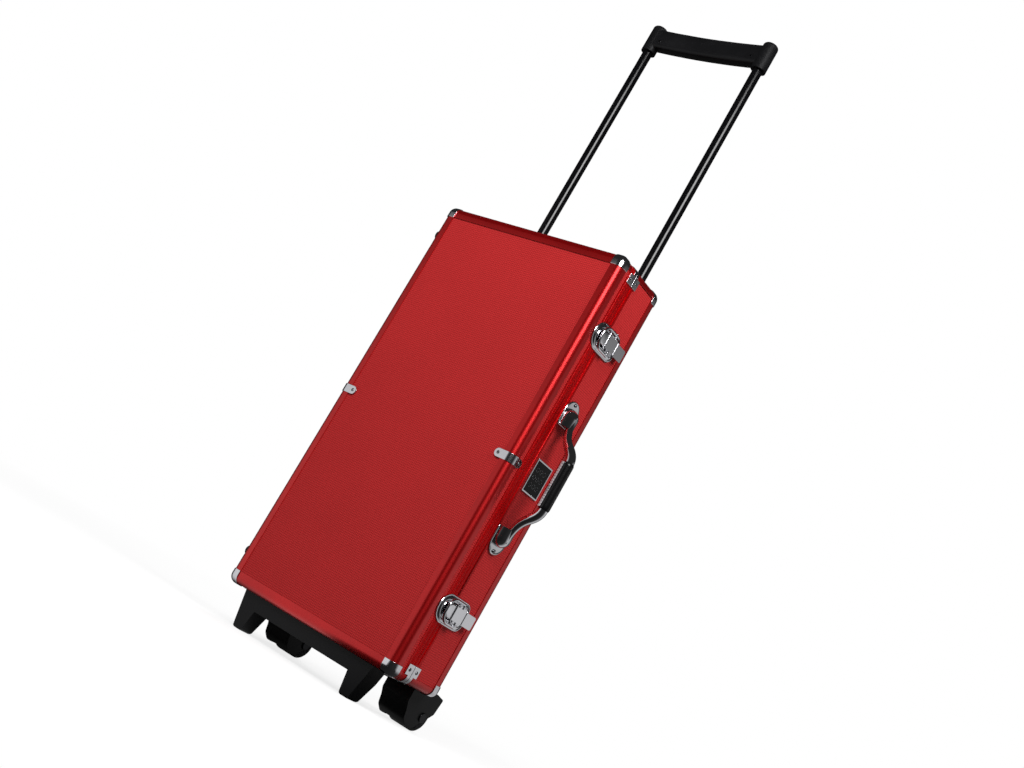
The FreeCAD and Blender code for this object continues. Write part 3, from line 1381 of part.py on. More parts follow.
keep_shape(base_shape(), "trolley_base")
base_screws = [head((x, y, z_plate_low), "-z", d.screw_radius, d.screw_head, "screw") for x, y in base_bolts()]
y_spine = y_frame + d.spine
for z in (z_low + d.upstand * 0.72, z_tube_top + d.bush_height - d.bracket_height / 2):
    for side in (1, -1):
        base_screws.append(head((x_rods * side * 0.62, y_spine, z), "y", d.screw_radius, d.screw_head, "screw"))
keep(group(base_screws), "base_screws")


# Wheels

def revolved(name, x, rims):
    """Ring about the axle line, from its outline of (distance along the axle, radius)."""
    body = new_body(name)
    sketch = new_sketch(body, "XY_Plane", d.wheel_radius)
    outline(sketch, [(x + across, y_axle + radius) for across, radius in rims])
    turn = body.newObject("PartDesign::Revolution", f"{name}_turn")
    turn.Profile = sketch
    line = sketch.addGeometry(Part.LineSegment(unit(x - 20, y_axle, 0), unit(x + 20, y_axle, 0)), True)
    tie_point(sketch, line, 1, (x - 20, y_axle))
    tie_point(sketch, line, 2, (x + 20, y_axle))
    turn.ReferenceAxis = (sketch, ["Axis0"])
    turn.Angle = 360
    return body


hub_radius = d.wheel_radius - d.tyre_thickness
half_width = d.wheel_width / 2
for stem, side in (("left", -1), ("right", 1)):
    x = x_wheels * side
    bore = d.axle_radius + d.axle_clear
    web = half_width * 0.45
    hub = [(-d.hub_boss, bore), (d.hub_boss, bore), (d.hub_boss, bore * 1.8), (web, bore * 2.1),
           (web, hub_radius - 2), (half_width - 1, hub_radius), (1 - half_width, hub_radius),
           (-web, hub_radius - 2), (-web, bore * 2.1), (-d.hub_boss, bore * 1.8)]
    keep(revolved(f"{stem}_hub", x, hub), f"wheel_hub_{stem}")
    tyre_start = hub_radius + d.tube_fit
    crown = d.wheel_radius
    tyre = [(1.2 - half_width, tyre_start), (half_width - 1.2, tyre_start), (half_width - 1, crown - 2),
            (half_width - 3, crown), (3 - half_width, crown), (1 - half_width, crown - 2)]
    keep(revolved(f"{stem}_tyre", x, tyre), f"tyre_{stem}")
    x_ends = sorted((housing_outer * side, housing_inner * side), key=float)
    pin = cylinder((x_ends[0], y_axle, d.wheel_radius), "x", d.axle_radius, x_ends[1] - x_ends[0])
    caps = [cylinder((x_ends[0] - d.screw_head, y_axle, d.wheel_radius), "x", d.axle_head, d.screw_head),
            cylinder((x_ends[1], y_axle, d.wheel_radius), "x", d.axle_head, d.screw_head)]
    keep(fuse([pin] + caps), f"axle_{stem}")


# Checks, then one file for each sub-part

doc.recompute()
for item in doc.Objects:
    if "Invalid" in item.State or "Error" in item.State:
        raise RuntimeError(f"{item.Label} did not recompute: {item.State}")
labels = [item.Label for item in finished]
if len(set(labels)) != len(labels):
    raise RuntimeError("two sub-parts share a name")
os.makedirs("parts", exist_ok=True)
for item in finished:
    shape = item.Shape
    if shape.isNull() or not shape.isValid() or not shape.Solids:
        raise RuntimeError(f"{item.Label} has no valid solid")
    shape.exportStep(f"parts/{item.Label}.step")
print(len(finished), "sub-parts written")
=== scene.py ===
import json
import math

import bmesh
import bpy
from mathutils import Matrix, Vector

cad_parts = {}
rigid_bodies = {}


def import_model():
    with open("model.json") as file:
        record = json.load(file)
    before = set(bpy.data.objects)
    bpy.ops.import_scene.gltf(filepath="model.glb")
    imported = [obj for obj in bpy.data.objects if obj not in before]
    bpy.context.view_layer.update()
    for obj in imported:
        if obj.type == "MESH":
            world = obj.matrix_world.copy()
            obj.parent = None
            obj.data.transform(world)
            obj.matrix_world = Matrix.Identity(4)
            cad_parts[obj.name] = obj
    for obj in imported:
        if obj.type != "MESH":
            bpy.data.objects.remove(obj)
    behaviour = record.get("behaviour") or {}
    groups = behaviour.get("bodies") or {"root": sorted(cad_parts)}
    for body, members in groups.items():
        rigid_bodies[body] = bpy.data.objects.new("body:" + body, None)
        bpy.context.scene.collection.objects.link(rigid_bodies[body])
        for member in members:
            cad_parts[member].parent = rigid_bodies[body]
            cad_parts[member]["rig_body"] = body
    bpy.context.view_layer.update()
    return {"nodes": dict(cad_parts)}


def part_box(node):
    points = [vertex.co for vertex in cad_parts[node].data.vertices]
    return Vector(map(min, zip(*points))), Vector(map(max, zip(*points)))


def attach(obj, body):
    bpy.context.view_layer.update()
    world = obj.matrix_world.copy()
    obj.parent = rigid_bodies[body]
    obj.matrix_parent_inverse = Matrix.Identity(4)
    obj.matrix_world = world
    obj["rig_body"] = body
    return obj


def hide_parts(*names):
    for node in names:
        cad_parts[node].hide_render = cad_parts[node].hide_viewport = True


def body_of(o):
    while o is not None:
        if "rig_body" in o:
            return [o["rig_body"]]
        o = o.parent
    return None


bl_info = {
    "name": "Rolling Game Case",
    "version": (1, 0, 0),
    "blender": (4, 5, 0),
    "location": "View3D > Sidebar > Game Case",
    "description": "Dresses a rolling aluminium case for a tile game set",
    "category": "Object",
}

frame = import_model()

MM = 0.001

# The case's box, read from its own solids
CASE_LOW = Vector((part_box("body_edging")[0].x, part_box("lid_edging")[0].y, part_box("body_edging")[0].z))
CASE_HIGH = Vector((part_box("body_edging")[1].x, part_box("body_edging")[1].y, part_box("body_edging")[1].z))
CENTRE = (CASE_LOW + CASE_HIGH) / 2

# Room between the case and the base, taken up by the corner caps
BASE_GAP = 1.4 * MM


# Materials

def linear(code, factor=1.0):
    """sRGB hex colour as linear light, made lighter or darker by a factor."""
    parts = [int(code[i:i + 2], 16) / 255 for i in (1, 3, 5)]
    light = [c / 12.92 if c <= 0.04045 else ((c + 0.055) / 1.055) ** 2.4 for c in parts]
    return tuple(min(1.0, c * factor) for c in light) + (1.0,)


def add(tree, kind, links=(), **settings):
    """Add a node. Links are (input, source). Settings starting with in_ fill its inputs, the rest its properties."""
    node = tree.nodes.new(kind)
    for key, value in settings.items():
        if key.startswith("in_"):
            name = key[3:]
            node.inputs[int(name) if name.isdigit() else name.replace("_", " ")].default_value = value
        else:
            setattr(node, key, value)
    for target, source in links:
        tree.links.new(source, node.inputs[target])
    return node


def math_node(tree, operation, *values):
    """Arithmetic on sockets and numbers."""
    node = tree.nodes.new("ShaderNodeMath")
    node.operation = operation
    for index, value in enumerate(values):
        if isinstance(value, (int, float)):
            node.inputs[index].default_value = value
        else:
            tree.links.new(value, node.inputs[index])
    return node.outputs[0]


def new_material(name, **settings):
    """Material with a principled shader. Settings fill the shader's inputs."""
    material = bpy.data.materials.new(name)
    material.use_nodes = True
    tree = material.node_tree
    tree.nodes.clear()
    shader = tree.nodes.new("ShaderNodeBsdfPrincipled")
    output = tree.nodes.new("ShaderNodeOutputMaterial")
    tree.links.new(shader.outputs[0], output.inputs[0])
    for key, value in settings.items():
        shader.inputs[key.replace("_", " ")].default_value = value
    place = tree.nodes.new("ShaderNodeTexCoord").outputs["Object"]
    return material, tree, shader, place


def ramp(tree, source, stops):
    """Colour ramp. Stops are (position, colour)."""
    node = add(tree, "ShaderNodeValToRGB", [(0, source)])
    elements = node.color_ramp.elements
    while len(elements) < len(stops):
        elements.new(0.5)
    for element, (position, colour) in zip(elements, stops):
        element.position = position
        element.color = colour
    return node.outputs[0]


def noise(tree, place, size_mm, detail=2.0):
    """Noise whose features are about so many millimetres wide."""
    return add(tree, "ShaderNodeTexNoise", [(0, place)], in_Scale=1 / (size_mm * MM), in_Detail=detail).outputs[0]


def dent(tree, shader, height, strength, depth_mm):
    bump = add(tree, "ShaderNodeBump", [("Height", height)], in_Strength=strength, in_Distance=depth_mm * MM)
    tree.links.new(bump.outputs[0], shader.inputs["Normal"])


def span(tree, shader, name, source, low, high):
    """Drive a shader input from a 0 to 1 source."""
    node = add(tree, "ShaderNodeMapRange", [(0, source)], in_3=low, in_4=high)
    tree.links.new(node.outputs[0], shader.inputs[name])


def laminate(name, colour, across, up):
    """Embossed vinyl laminate on fibreboard. A fine diagonal lattice is pressed into the film, so the eye gets
    a dull red with a regular grain. The lattice is a bump, and it is also painted into the colour: painted shade
    in its troughs and painted highlight on its crests. The real lattice is about 1 mm; it is drawn at 3.7 mm so that
    it shows."""
    material, tree, shader, place = new_material(name, Roughness=0.55, IOR=1.5, Specular_IOR_Level=0.1)
    parts = add(tree, "ShaderNodeSeparateXYZ", [(0, place)])
    wave_number = math.pi / (3.7 * MM * math.sqrt(0.5))
    waves = []
    for operation in ("ADD", "SUBTRACT"):
        slope = math_node(tree, operation, parts.outputs[across], parts.outputs[up])
        waves.append(math_node(tree, "SINE", math_node(tree, "MULTIPLY", slope, wave_number)))
    lattice = math_node(tree, "MULTIPLY", waves[0], waves[1])
    level = math_node(tree, "MULTIPLY_ADD", lattice, 0.5, 0.5)
    # painted shade and painted highlight: the red drops to 0.62 in the lattice's troughs and rises to 1.3 on its
    # crests
    tint = ramp(tree, level, [(0.0, linear(colour, 0.62)), (0.5, linear(colour)), (1.0, linear(colour, 1.3))])
    shade = add(tree, "ShaderNodeMix", [(0, noise(tree, place, 90, 4.0)), (6, tint)], data_type="RGBA",
                blend_type="MULTIPLY", in_7=(0.86, 0.86, 0.86, 1.0))
    tree.links.new(shade.outputs[2], shader.inputs["Base Color"])
    grain = math_node(tree, "MULTIPLY_ADD", noise(tree, place, 1.0), 0.2, level)
    dent(tree, shader, grain, 0.4, 0.3)
    return material


def anodised(name, colour, metallic, roughness, coat):
    """Red dyed anodised aluminium, extruded and satin etched: a deep coloured metal whose dyed layer scatters some
    light, under a clear oxide that adds a pale gloss where a lamp is mirrored. Metals keep the default IOR."""
    material, tree, shader, place = new_material(name, Metallic=metallic, Specular_IOR_Level=0.1, Coat_Weight=coat,
                                                 Coat_Roughness=0.3)
    tint = ramp(tree, noise(tree, place, 45, 3.0), [(0.3, linear(colour, 0.9)), (0.7, linear(colour, 1.06))])
    tree.links.new(tint, shader.inputs["Base Color"])
    span(tree, shader, "Roughness", noise(tree, place, 0.8), roughness * 0.9, roughness * 1.1)
    return material


def plated(name, colour, roughness):
    """Chromium or zinc plate on pressed steel: a mirror with a few dull patches where it has been handled."""
    material, tree, shader, place = new_material(name, Base_Color=linear(colour), Metallic=1.0)
    span(tree, shader, "Roughness", noise(tree, place, 16, 3.0), roughness * 0.5, roughness * 1.7)
    dent(tree, shader, noise(tree, place, 9, 0.0), 0.05, 0.04)
    return material


def moulded(name, colour, roughness, grain_mm, depth_mm, level=0.4):
    """Moulded plastic or enamel: a fine grain breaks the gloss, a little duller and paler where it is handled."""
    material, tree, shader, place = new_material(name, IOR=1.49, Specular_IOR_Level=level)
    wear = noise(tree, place, 45, 5.0)
    tint = ramp(tree, wear, [(0.35, linear(colour)), (0.8, linear(colour, 1.6))])
    tree.links.new(tint, shader.inputs["Base Color"])
    span(tree, shader, "Roughness", wear, roughness * 0.85, roughness * 1.2)
    dent(tree, shader, noise(tree, place, grain_mm), 0.2, depth_mm)
    return material


def foam(name, colour):
    """Soft black foam with a short flocked nap: it swallows light, and glows faintly at grazing angles."""
    material, tree, shader, place = new_material(name, Roughness=0.95, Sheen_Weight=0.4, Sheen_Roughness=0.4,
                                                 Specular_IOR_Level=0.2)
    fibre = noise(tree, place, 0.7, 3.0)
    both = math_node(tree, "MULTIPLY", fibre, noise(tree, place, 38, 4.0))
    tint = ramp(tree, both, [(0.12, linear(colour)), (0.45, linear(colour, 2.4))])
    tree.links.new(tint, shader.inputs["Base Color"])
    dent(tree, shader, fibre, 0.6, 0.3)
    return material


FINISHES = {}


def make_finishes(colours):
    FINISHES["board_face"] = laminate("embossed_vinyl_laminate_face", colours.panel, 0, 2)
    FINISHES["board_side"] = laminate("embossed_vinyl_laminate_side", colours.panel, 1, 2)
    FINISHES["board_end"] = laminate("embossed_vinyl_laminate_end", colours.panel, 0, 1)
    FINISHES["anodised"] = anodised("red_anodised_aluminium", colours.edging, 0.86, 0.37, 0.65)
    FINISHES["ribbed"] = anodised("etched_red_anodised_aluminium", colours.edging, 0.72, 0.5, 0.2)
    FINISHES["chrome"] = plated("chromium_plated_steel", colours.chrome, 0.13)
    FINISHES["zinc"] = plated("zinc_plated_steel", "#8E8F92", 0.3)
    FINISHES["oxide"] = plated("black_oxide_steel", "#2C2C2E", 0.35)
    FINISHES["abs"] = moulded("black_abs_plastic", colours.plastic, 0.4, 0.6, 0.03, 0.14)
    FINISHES["nylon"] = moulded("polished_black_nylon", colours.plastic, 0.2, 2.0, 0.01, 0.3)
    FINISHES["enamel"] = moulded("black_stoved_enamel", colours.rod, 0.16, 3.0, 0.004, 0.4)
    FINISHES["lacquer"] = moulded("black_lacquered_brass", "#070708", 0.3, 1.2, 0.01, 0.15)
    FINISHES["hub"] = moulded("dark_grey_abs_plastic", "#232325", 0.4, 0.6, 0.03, 0.2)
    FINISHES["rubber"] = moulded("hard_black_rubber", "#0F0F0F", 0.62, 0.5, 0.05, 0.2)
    FINISHES["foam"] = foam("black_flocked_foam", "#101011")


# Meshes

def show(name, mesh, body, finish, *nodes):
    """Put a finished mesh in the scene as a piece that rides a body and stands for the given solids."""
    obj = bpy.data.objects.new(name, mesh)
    bpy.context.scene.collection.objects.link(obj)
    mesh.name = name
    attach(obj, body)
    if nodes:
        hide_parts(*nodes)
    mesh.materials.clear()
    mesh.materials.append(FINISHES[finish])
    return obj


def settle(obj):
    """Turn an object's modifiers into a plain mesh."""
    bpy.context.view_layer.update()
    graph = bpy.context.evaluated_depsgraph_get()
    mesh = bpy.data.meshes.new_from_object(obj.evaluated_get(graph))
    old = obj.data
    obj.modifiers.clear()
    obj.data = mesh
    bpy.data.meshes.remove(old)
    return obj


def smooth(mesh, angle=34):
    mesh.polygons.foreach_set("use_smooth", [True] * len(mesh.polygons))
    mesh.set_sharp_from_angle(angle=math.radians(angle))
    mesh.update()


def cleaned(node):
    """A solid's mesh as bmesh, with its loose triangles merged and its flat faces joined."""
    work = bmesh.new()
    work.from_mesh(frame["nodes"][node].data)
    bmesh.ops.remove_doubles(work, verts=work.verts, dist=2e-6)
    bmesh.ops.dissolve_limit(work, angle_limit=math.radians(0.6), verts=work.verts, edges=work.edges,
                             delimit={"NORMAL"})
    return work


def cut_off(work, cuts):
    """Close a mesh along planes. Cuts are (point, direction): what lies in the direction goes."""
    for point, direction in cuts:
        everything = work.verts[:] + work.edges[:] + work.faces[:]
        cut = bmesh.ops.bisect_plane(work, geom=everything, plane_co=point, plane_no=direction, clear_outer=True)
        edges = [item for item in cut["geom_cut"] if isinstance(item, bmesh.types.BMEdge)]
        bmesh.ops.edgenet_fill(work, edges=edges)


def refined(node, finish, width=0.0, segments=2, angle=34, seat=None, cuts=()):
    """Copy of a solid with smooth curves and its sharp edges broken by a small round. Seat is (height, new height)
    of a face that closes up to its neighbour."""
    work = cleaned(node)
    cut_off(work, cuts)
    if seat:
        for vertex in work.verts:
            if abs(vertex.co.z - seat[0]) < 0.05 * MM:
                vertex.co.z = seat[1]
    mesh = bpy.data.meshes.new(node)
    work.to_mesh(mesh)
    work.free()
    smooth(mesh)
    body = body_of(frame["nodes"][node])[0]
    obj = show(f"{node}.skin", mesh, body, finish, node)
    if width:
        bevel = obj.modifiers.new("edge", "BEVEL")
        bevel.width = width * MM
        bevel.segments = segments
        bevel.limit_method = "ANGLE"
        bevel.angle_limit = math.radians(angle)
        bevel.harden_normals = True
        settle(obj)
    return obj


def islands(node):
    """Boxes of the separate lumps in a solid, each as (lowest corner, highest corner)."""
    work = cleaned(node)
    left = set(work.verts)
    boxes = []
    while left:
        stack = [left.pop()]
        points = []
        while stack:
            vertex = stack.pop()
            points.append(vertex.co.copy())
            for edge in vertex.link_edges:
                other = edge.other_vert(vertex)
                if other in left:
                    left.remove(other)
                    stack.append(other)
        low = Vector([min(p[axis] for p in points) for axis in range(3)])
        high = Vector([max(p[axis] for p in points) for axis in range(3)])
        boxes.append((low, high))
    work.free()
    return sorted(boxes, key=lambda box: tuple(round(value, 5) for value in box[0]))


# Geometry Nodes

def new_tree(name, **inputs):
    """Node tree with a geometry input and named values. Returns the tree, its inputs by name and its output."""
    tree = bpy.data.node_groups.new(name, "GeometryNodeTree")
    tree.interface.new_socket(name="Geometry", in_out="INPUT", socket_type="NodeSocketGeometry")
    tree.interface.new_socket(name="Geometry", in_out="OUTPUT", socket_type="NodeSocketGeometry")
    for key, kind in inputs.items():
        tree.interface.new_socket(name=key.replace("_", " "), in_out="INPUT", socket_type=f"NodeSocket{kind}")
    entry = tree.nodes.new("NodeGroupInput")
    given = {socket.name: socket for socket in entry.outputs}
    return tree, given, tree.nodes.new("NodeGroupOutput")


def close_tree(tree, geometry, material, exit_node):
    """Every tree ends alike: real geometry in one material."""
    real = add(tree, "GeometryNodeRealizeInstances", [(0, geometry)])
    painted = add(tree, "GeometryNodeSetMaterial", [(0, real.outputs[0]), ("Material", material)])
    tree.links.new(painted.outputs[0], exit_node.inputs[0])


def grow(name, mesh, tree, body, finish, nodes=(), **values):
    """Run a node tree on a mesh with the given values, and keep the result as a plain piece."""
    obj = bpy.data.objects.new(name, mesh)
    bpy.context.scene.collection.objects.link(obj)
    modifier = obj.modifiers.new("grow", "NODES")
    modifier.node_group = tree
    sockets = {item.name: item.identifier for item in tree.interface.items_tree if item.in_out == "INPUT"}
    for key, value in dict(values, Material=FINISHES[finish]).items():
        modifier[sockets[key]] = value
    settle(obj)
    obj.data.name = name
    smooth(obj.data)
    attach(obj, body)
    if nodes:
        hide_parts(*nodes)
    return obj


def screw_tree():
    """A domed head with a cross recess on every point, facing along the point's own direction."""
    tree, given, last = new_tree("screw_heads", Radius="Float", Height="Float", Slot="Float", Material="Material")
    ball = add(tree, "GeometryNodeMeshUVSphere", in_Segments=24, in_Rings=14, in_Radius=1.0)
    size = add(tree, "ShaderNodeCombineXYZ", [(0, given["Radius"]), (1, given["Radius"]), (2, given["Height"])])
    dome = add(tree, "GeometryNodeTransform", [("Geometry", ball.outputs[0]), ("Scale", size.outputs[0])])
    long = math_node(tree, "MULTIPLY", given["Radius"], 1.15)
    deep = math_node(tree, "MULTIPLY", given["Height"], 1.3)
    cross = add(tree, "GeometryNodeMeshBoolean", operation="UNION", solver="EXACT")
    for order in ((long, given["Slot"], deep), (given["Slot"], long, deep)):
        extent = add(tree, "ShaderNodeCombineXYZ", list(enumerate(order)))
        bar = add(tree, "GeometryNodeMeshCube", [("Size", extent.outputs[0])])
        tree.links.new(bar.outputs[0], cross.inputs["Mesh 2"])
    lift = add(tree, "ShaderNodeCombineXYZ", [(2, math_node(tree, "MULTIPLY", given["Height"], 0.95))])
    raised = add(tree, "GeometryNodeTransform", [("Geometry", cross.outputs[0]), ("Translation", lift.outputs[0])])
    head = add(tree, "GeometryNodeMeshBoolean", [("Mesh 1", dome.outputs[0]), ("Mesh 2", raised.outputs[0])],
               operation="DIFFERENCE", solver="EXACT")
    facing = add(tree, "GeometryNodeInputNamedAttribute", data_type="FLOAT_VECTOR", in_Name="facing")
    turn = add(tree, "FunctionNodeAlignRotationToVector", [("Vector", facing.outputs[0])], axis="Z")
    heads = add(tree, "GeometryNodeInstanceOnPoints",
                [("Points", given["Geometry"]), ("Instance", head.outputs[0]), ("Rotation", turn.outputs[0])])
    close_tree(tree, heads.outputs[0], given["Material"], last)
    return tree


def sweep_tree():
    """A round bar along a line, as thick at each point as the point says."""
    tree, given, last = new_tree("swept_bar", Sides="Int", Material="Material")
    path = add(tree, "GeometryNodeMeshToCurve", [("Mesh", given["Geometry"])])
    ring = add(tree, "GeometryNodeCurvePrimitiveCircle", [("Resolution", given["Sides"])], in_Radius=1.0)
    thick = add(tree, "GeometryNodeInputNamedAttribute", data_type="FLOAT", in_Name="thick")
    bar = add(tree, "GeometryNodeCurveToMesh",
              [("Curve", path.outputs[0]), ("Profile Curve", ring.outputs[0]), ("Scale", thick.outputs[0])],
              in_Fill_Caps=True)
    close_tree(tree, bar.outputs[0], given["Material"], last)
    return tree


def row_tree():
    """The same small block on every point of a line."""
    tree, given, last = new_tree("row_of_blocks", Size="Vector", Material="Material")
    box = add(tree, "GeometryNodeMeshCube", [("Size", given["Size"])])
    heads = add(tree, "GeometryNodeInstanceOnPoints", [("Points", given["Geometry"]), ("Instance", box.outputs[0])])
    close_tree(tree, heads.outputs[0], given["Material"], last)
    return tree


def ring_tree():
    """A thin raised ring on every point, lying in the YZ plane."""
    tree, given, last = new_tree("raised_rings", Radius="Float", Wire="Float", Material="Material")
    circle = add(tree, "GeometryNodeCurvePrimitiveCircle", [("Radius", given["Radius"])], in_Resolution=24)
    wire = add(tree, "GeometryNodeCurvePrimitiveCircle", [("Radius", given["Wire"])], in_Resolution=8)
    ring = add(tree, "GeometryNodeCurveToMesh", [("Curve", circle.outputs[0]), ("Profile Curve", wire.outputs[0])],
               in_Scale=1.0)
    upright = add(tree, "GeometryNodeTransform", [("Geometry", ring.outputs[0])], in_Rotation=(0, math.pi / 2, 0))
    rings = add(tree, "GeometryNodeInstanceOnPoints",
                [("Points", given["Geometry"]), ("Instance", upright.outputs[0])])
    close_tree(tree, rings.outputs[0], given["Material"], last)
    return tree


def egg_tree():
    """A foam sheet whose inner face rises and falls in rows of soft peaks, flat along its rim."""
    tree, given, last = new_tree("convoluted_foam", Width="Float", Length="Float", Pitch="Float", Depth="Float",
                                 Across="Int", Along="Int", Material="Material")
    sheet = add(tree, "GeometryNodeMeshGrid",
                [("Size X", given["Width"]), ("Size Y", given["Length"]), ("Vertices X", given["Across"]),
                 ("Vertices Y", given["Along"])])
    parts = add(tree, "ShaderNodeSeparateXYZ", [(0, add(tree, "GeometryNodeInputPosition").outputs[0])])
    step = math_node(tree, "DIVIDE", 2 * math.pi, given["Pitch"])
    half_pitch = math_node(tree, "MULTIPLY", given["Pitch"], 0.5)
    waves = []
    rims = []
    for index, size in ((0, "Width"), (1, "Length")):
        waves.append(math_node(tree, "COSINE", math_node(tree, "MULTIPLY", parts.outputs[index], step)))
        reach = math_node(tree, "MULTIPLY_ADD", given[size], 0.5,
                          math_node(tree, "MULTIPLY", math_node(tree, "ABSOLUTE", parts.outputs[index]), -1.0))
        rims.append(math_node(tree, "MINIMUM", math_node(tree, "DIVIDE", reach, half_pitch), 1.0))
    swell = math_node(tree, "MULTIPLY_ADD", math_node(tree, "ADD", *waves), 0.25, 0.5)
    height = math_node(tree, "MULTIPLY", math_node(tree, "MULTIPLY", swell, math_node(tree, "MULTIPLY", *rims)),
                       given["Depth"])
    lift = add(tree, "ShaderNodeCombineXYZ", [(2, height)])
    shaped = add(tree, "GeometryNodeSetPosition", [("Geometry", sheet.outputs[0]), ("Offset", lift.outputs[0])])
    close_tree(tree, shaped.outputs[0], given["Material"], last)
    return tree


def rounded_outline(y_ends, z_ends, radii, inset):
    """Points round a rectangle in Y and Z. Radii are of the corners in low Y and low Z, then low Y and high Z, and
    so on round; an inset moves every side inwards."""
    points = []
    corners = (((0, 0), 180), ((0, 1), 90), ((1, 1), 0), ((1, 0), -90))
    for ((at_y, at_z), start), radius in zip(corners, radii):
        small = max(radius - inset, 0.05 * MM)
        y = y_ends[at_y] + (inset + small) * (1 - 2 * at_y)
        z = z_ends[at_z] + (inset + small) * (1 - 2 * at_z)
        for step in range(11):
            turn = math.radians(start + 90 - 9 * step)
            points.append((y + small * math.cos(turn), z + small * math.sin(turn)))
    return points


def built_up(name, x, y_ends, z_ends, radii, profile, body, finish, nodes=(), cuts=()):
    """Pressed or cast piece on the latch side: a rounded outline that changes by (inset, height) steps in
    millimetres above x."""
    work = bmesh.new()
    rings = []
    for inset, height in profile:
        outline = rounded_outline(y_ends, z_ends, radii, inset * MM)
        rings.append([work.verts.new((x + height * MM, y, z)) for y, z in outline])
    for low, high in zip(rings, rings[1:]):
        for index in range(len(low)):
            work.faces.new((low[index - 1], low[index], high[index], high[index - 1]))
    work.faces.new(rings[0])
    work.faces.new(rings[-1])
    cut_off(work, cuts)
    bmesh.ops.remove_doubles(work, verts=work.verts, dist=1e-6)
    bmesh.ops.recalc_face_normals(work, faces=work.faces)
    mesh = bpy.data.meshes.new(name)
    work.to_mesh(mesh)
    work.free()
    smooth(mesh)
    return show(name, mesh, body, finish, *nodes)


def line_mesh(points, thick=None):
    """Points joined in a line, each with the bar's radius there."""
    mesh = bpy.data.meshes.new("line")
    mesh.from_pydata([tuple(p) for p in points], [(i, i + 1) for i in range(len(points) - 1)], [])
    if thick:
        store = mesh.attributes.new("thick", "FLOAT", "POINT")
        store.data.foreach_set("value", thick)
    return mesh


def screws(node, finish, tree, centre, slot):
    """Replace a solid's plain heads with real ones at the same places, each facing away from a centre."""
    places = []
    directions = []
    for low, high in islands(node):
        extent = high - low
        axis = min(range(3), key=lambda index: extent[index])
        middle = (low + high) / 2
        sign = 1 if middle[axis] > centre[axis] else -1
        middle[axis] = low[axis] if sign > 0 else high[axis]
        places.append(tuple(middle))
        directions += [sign if index == axis else 0 for index in range(3)]
    mesh = bpy.data.meshes.new("places")
    mesh.from_pydata(places, [], [])
    mesh.attributes.new("facing", "FLOAT_VECTOR", "POINT").data.foreach_set("vector", directions)
    radius = max(extent) / 2
    body = body_of(frame["nodes"][node])[0]
    return grow(f"{node}.heads", mesh, tree, body, finish, (node,), Radius=radius, Height=extent[axis],
                Slot=radius * slot)


# Stage

# What polished surfaces mirror all round the case, in grey: (azimuth from the lid's front, brightness)
TENT = ((-180, 0.06), (-120, 0.10), (-98, 0.06), (-76, 0.05), (-62, 0.90), (-20, 1.00), (-6, 0.10), (8, 0.02),
        (38, 0.015), (96, 0.03), (116, 0.40), (130, 0.70), (152, 0.62), (168, 0.10), (180, 0.06))
# How much of a wall is left at each height, from the horizon up: (sine of the elevation, share)
WALL_FADE = ((0.03, 1.0), (0.14, 0.75), (0.26, 0.42), (0.40, 0.0))


def ray_share(tree, *kinds):
    """1 for rays of the given kinds, 0 for others."""
    seen = add(tree, "ShaderNodeLightPath")
    share = seen.outputs[kinds[0]]
    for kind in kinds[1:]:
        share = math_node(tree, "MAXIMUM", share, seen.outputs[kind])
    return share


def tent_walls(tree, parts):
    """Grey of the tent's wall in the direction of a point."""
    turn = math_node(tree, "ARCTAN2", parts.outputs[0], math_node(tree, "MULTIPLY", parts.outputs[1], -1.0))
    share = math_node(tree, "MULTIPLY_ADD", turn, 1 / (2 * math.pi), 0.5)
    return ramp(tree, share, [((azimuth + 180) / 360, (grey, grey, grey, 1.0)) for azimuth, grey in TENT])


def stage_floor(settings):
    """Pale floor that turns pure white away from the case, and keeps the case's shadow near it. Polished surfaces
    see the tent's dark and pale walls go on across it, and it throws little light up at the case."""
    material, tree, shader, place = new_material("white_paper", Roughness=0.95)
    tone = add(tree, "ShaderNodeMix", [(0, ray_share(tree, "Is Diffuse Ray"))], data_type="RGBA",
               in_6=linear("#E6E6E6"), in_7=linear("#8C8C8C"))
    tree.links.new(tone.outputs[2], shader.inputs["Base Color"])
    far = add(tree, "ShaderNodeVectorMath", [(0, place)], operation="LENGTH")
    white = add(tree, "ShaderNodeMapRange", [(0, far.outputs["Value"])], in_1=0.25, in_2=1.6, in_3=0.8, in_4=1.0,
                interpolation_type="SMOOTHSTEP")
    glow = add(tree, "ShaderNodeEmission", in_0=(1.0, 1.0, 1.0, 1.0), in_1=1.0)
    share = math_node(tree, "MULTIPLY", ray_share(tree, "Is Camera Ray", "Is Transmission Ray"), white.outputs[0])
    seen = add(tree, "ShaderNodeMixShader", [(0, share), (1, shader.outputs[0]), (2, glow.outputs[0])])
    parts = add(tree, "ShaderNodeSeparateXYZ", [(0, place)])
    walls = add(tree, "ShaderNodeEmission", [(0, tent_walls(tree, parts))], in_1=settings.floor_mirror)
    both = add(tree, "ShaderNodeMixShader",
               [(0, ray_share(tree, "Is Glossy Ray")), (1, seen.outputs[0]), (2, walls.outputs[0])])
    output = next(node for node in tree.nodes if node.type == "OUTPUT_MATERIAL")
    tree.links.new(both.outputs[0], output.inputs[0])
    bpy.ops.mesh.primitive_circle_add(vertices=96, radius=settings.floor_radius, fill_type="NGON")
    floor = bpy.context.object
    floor.name = "studio_floor"
    floor.data.materials.append(material)


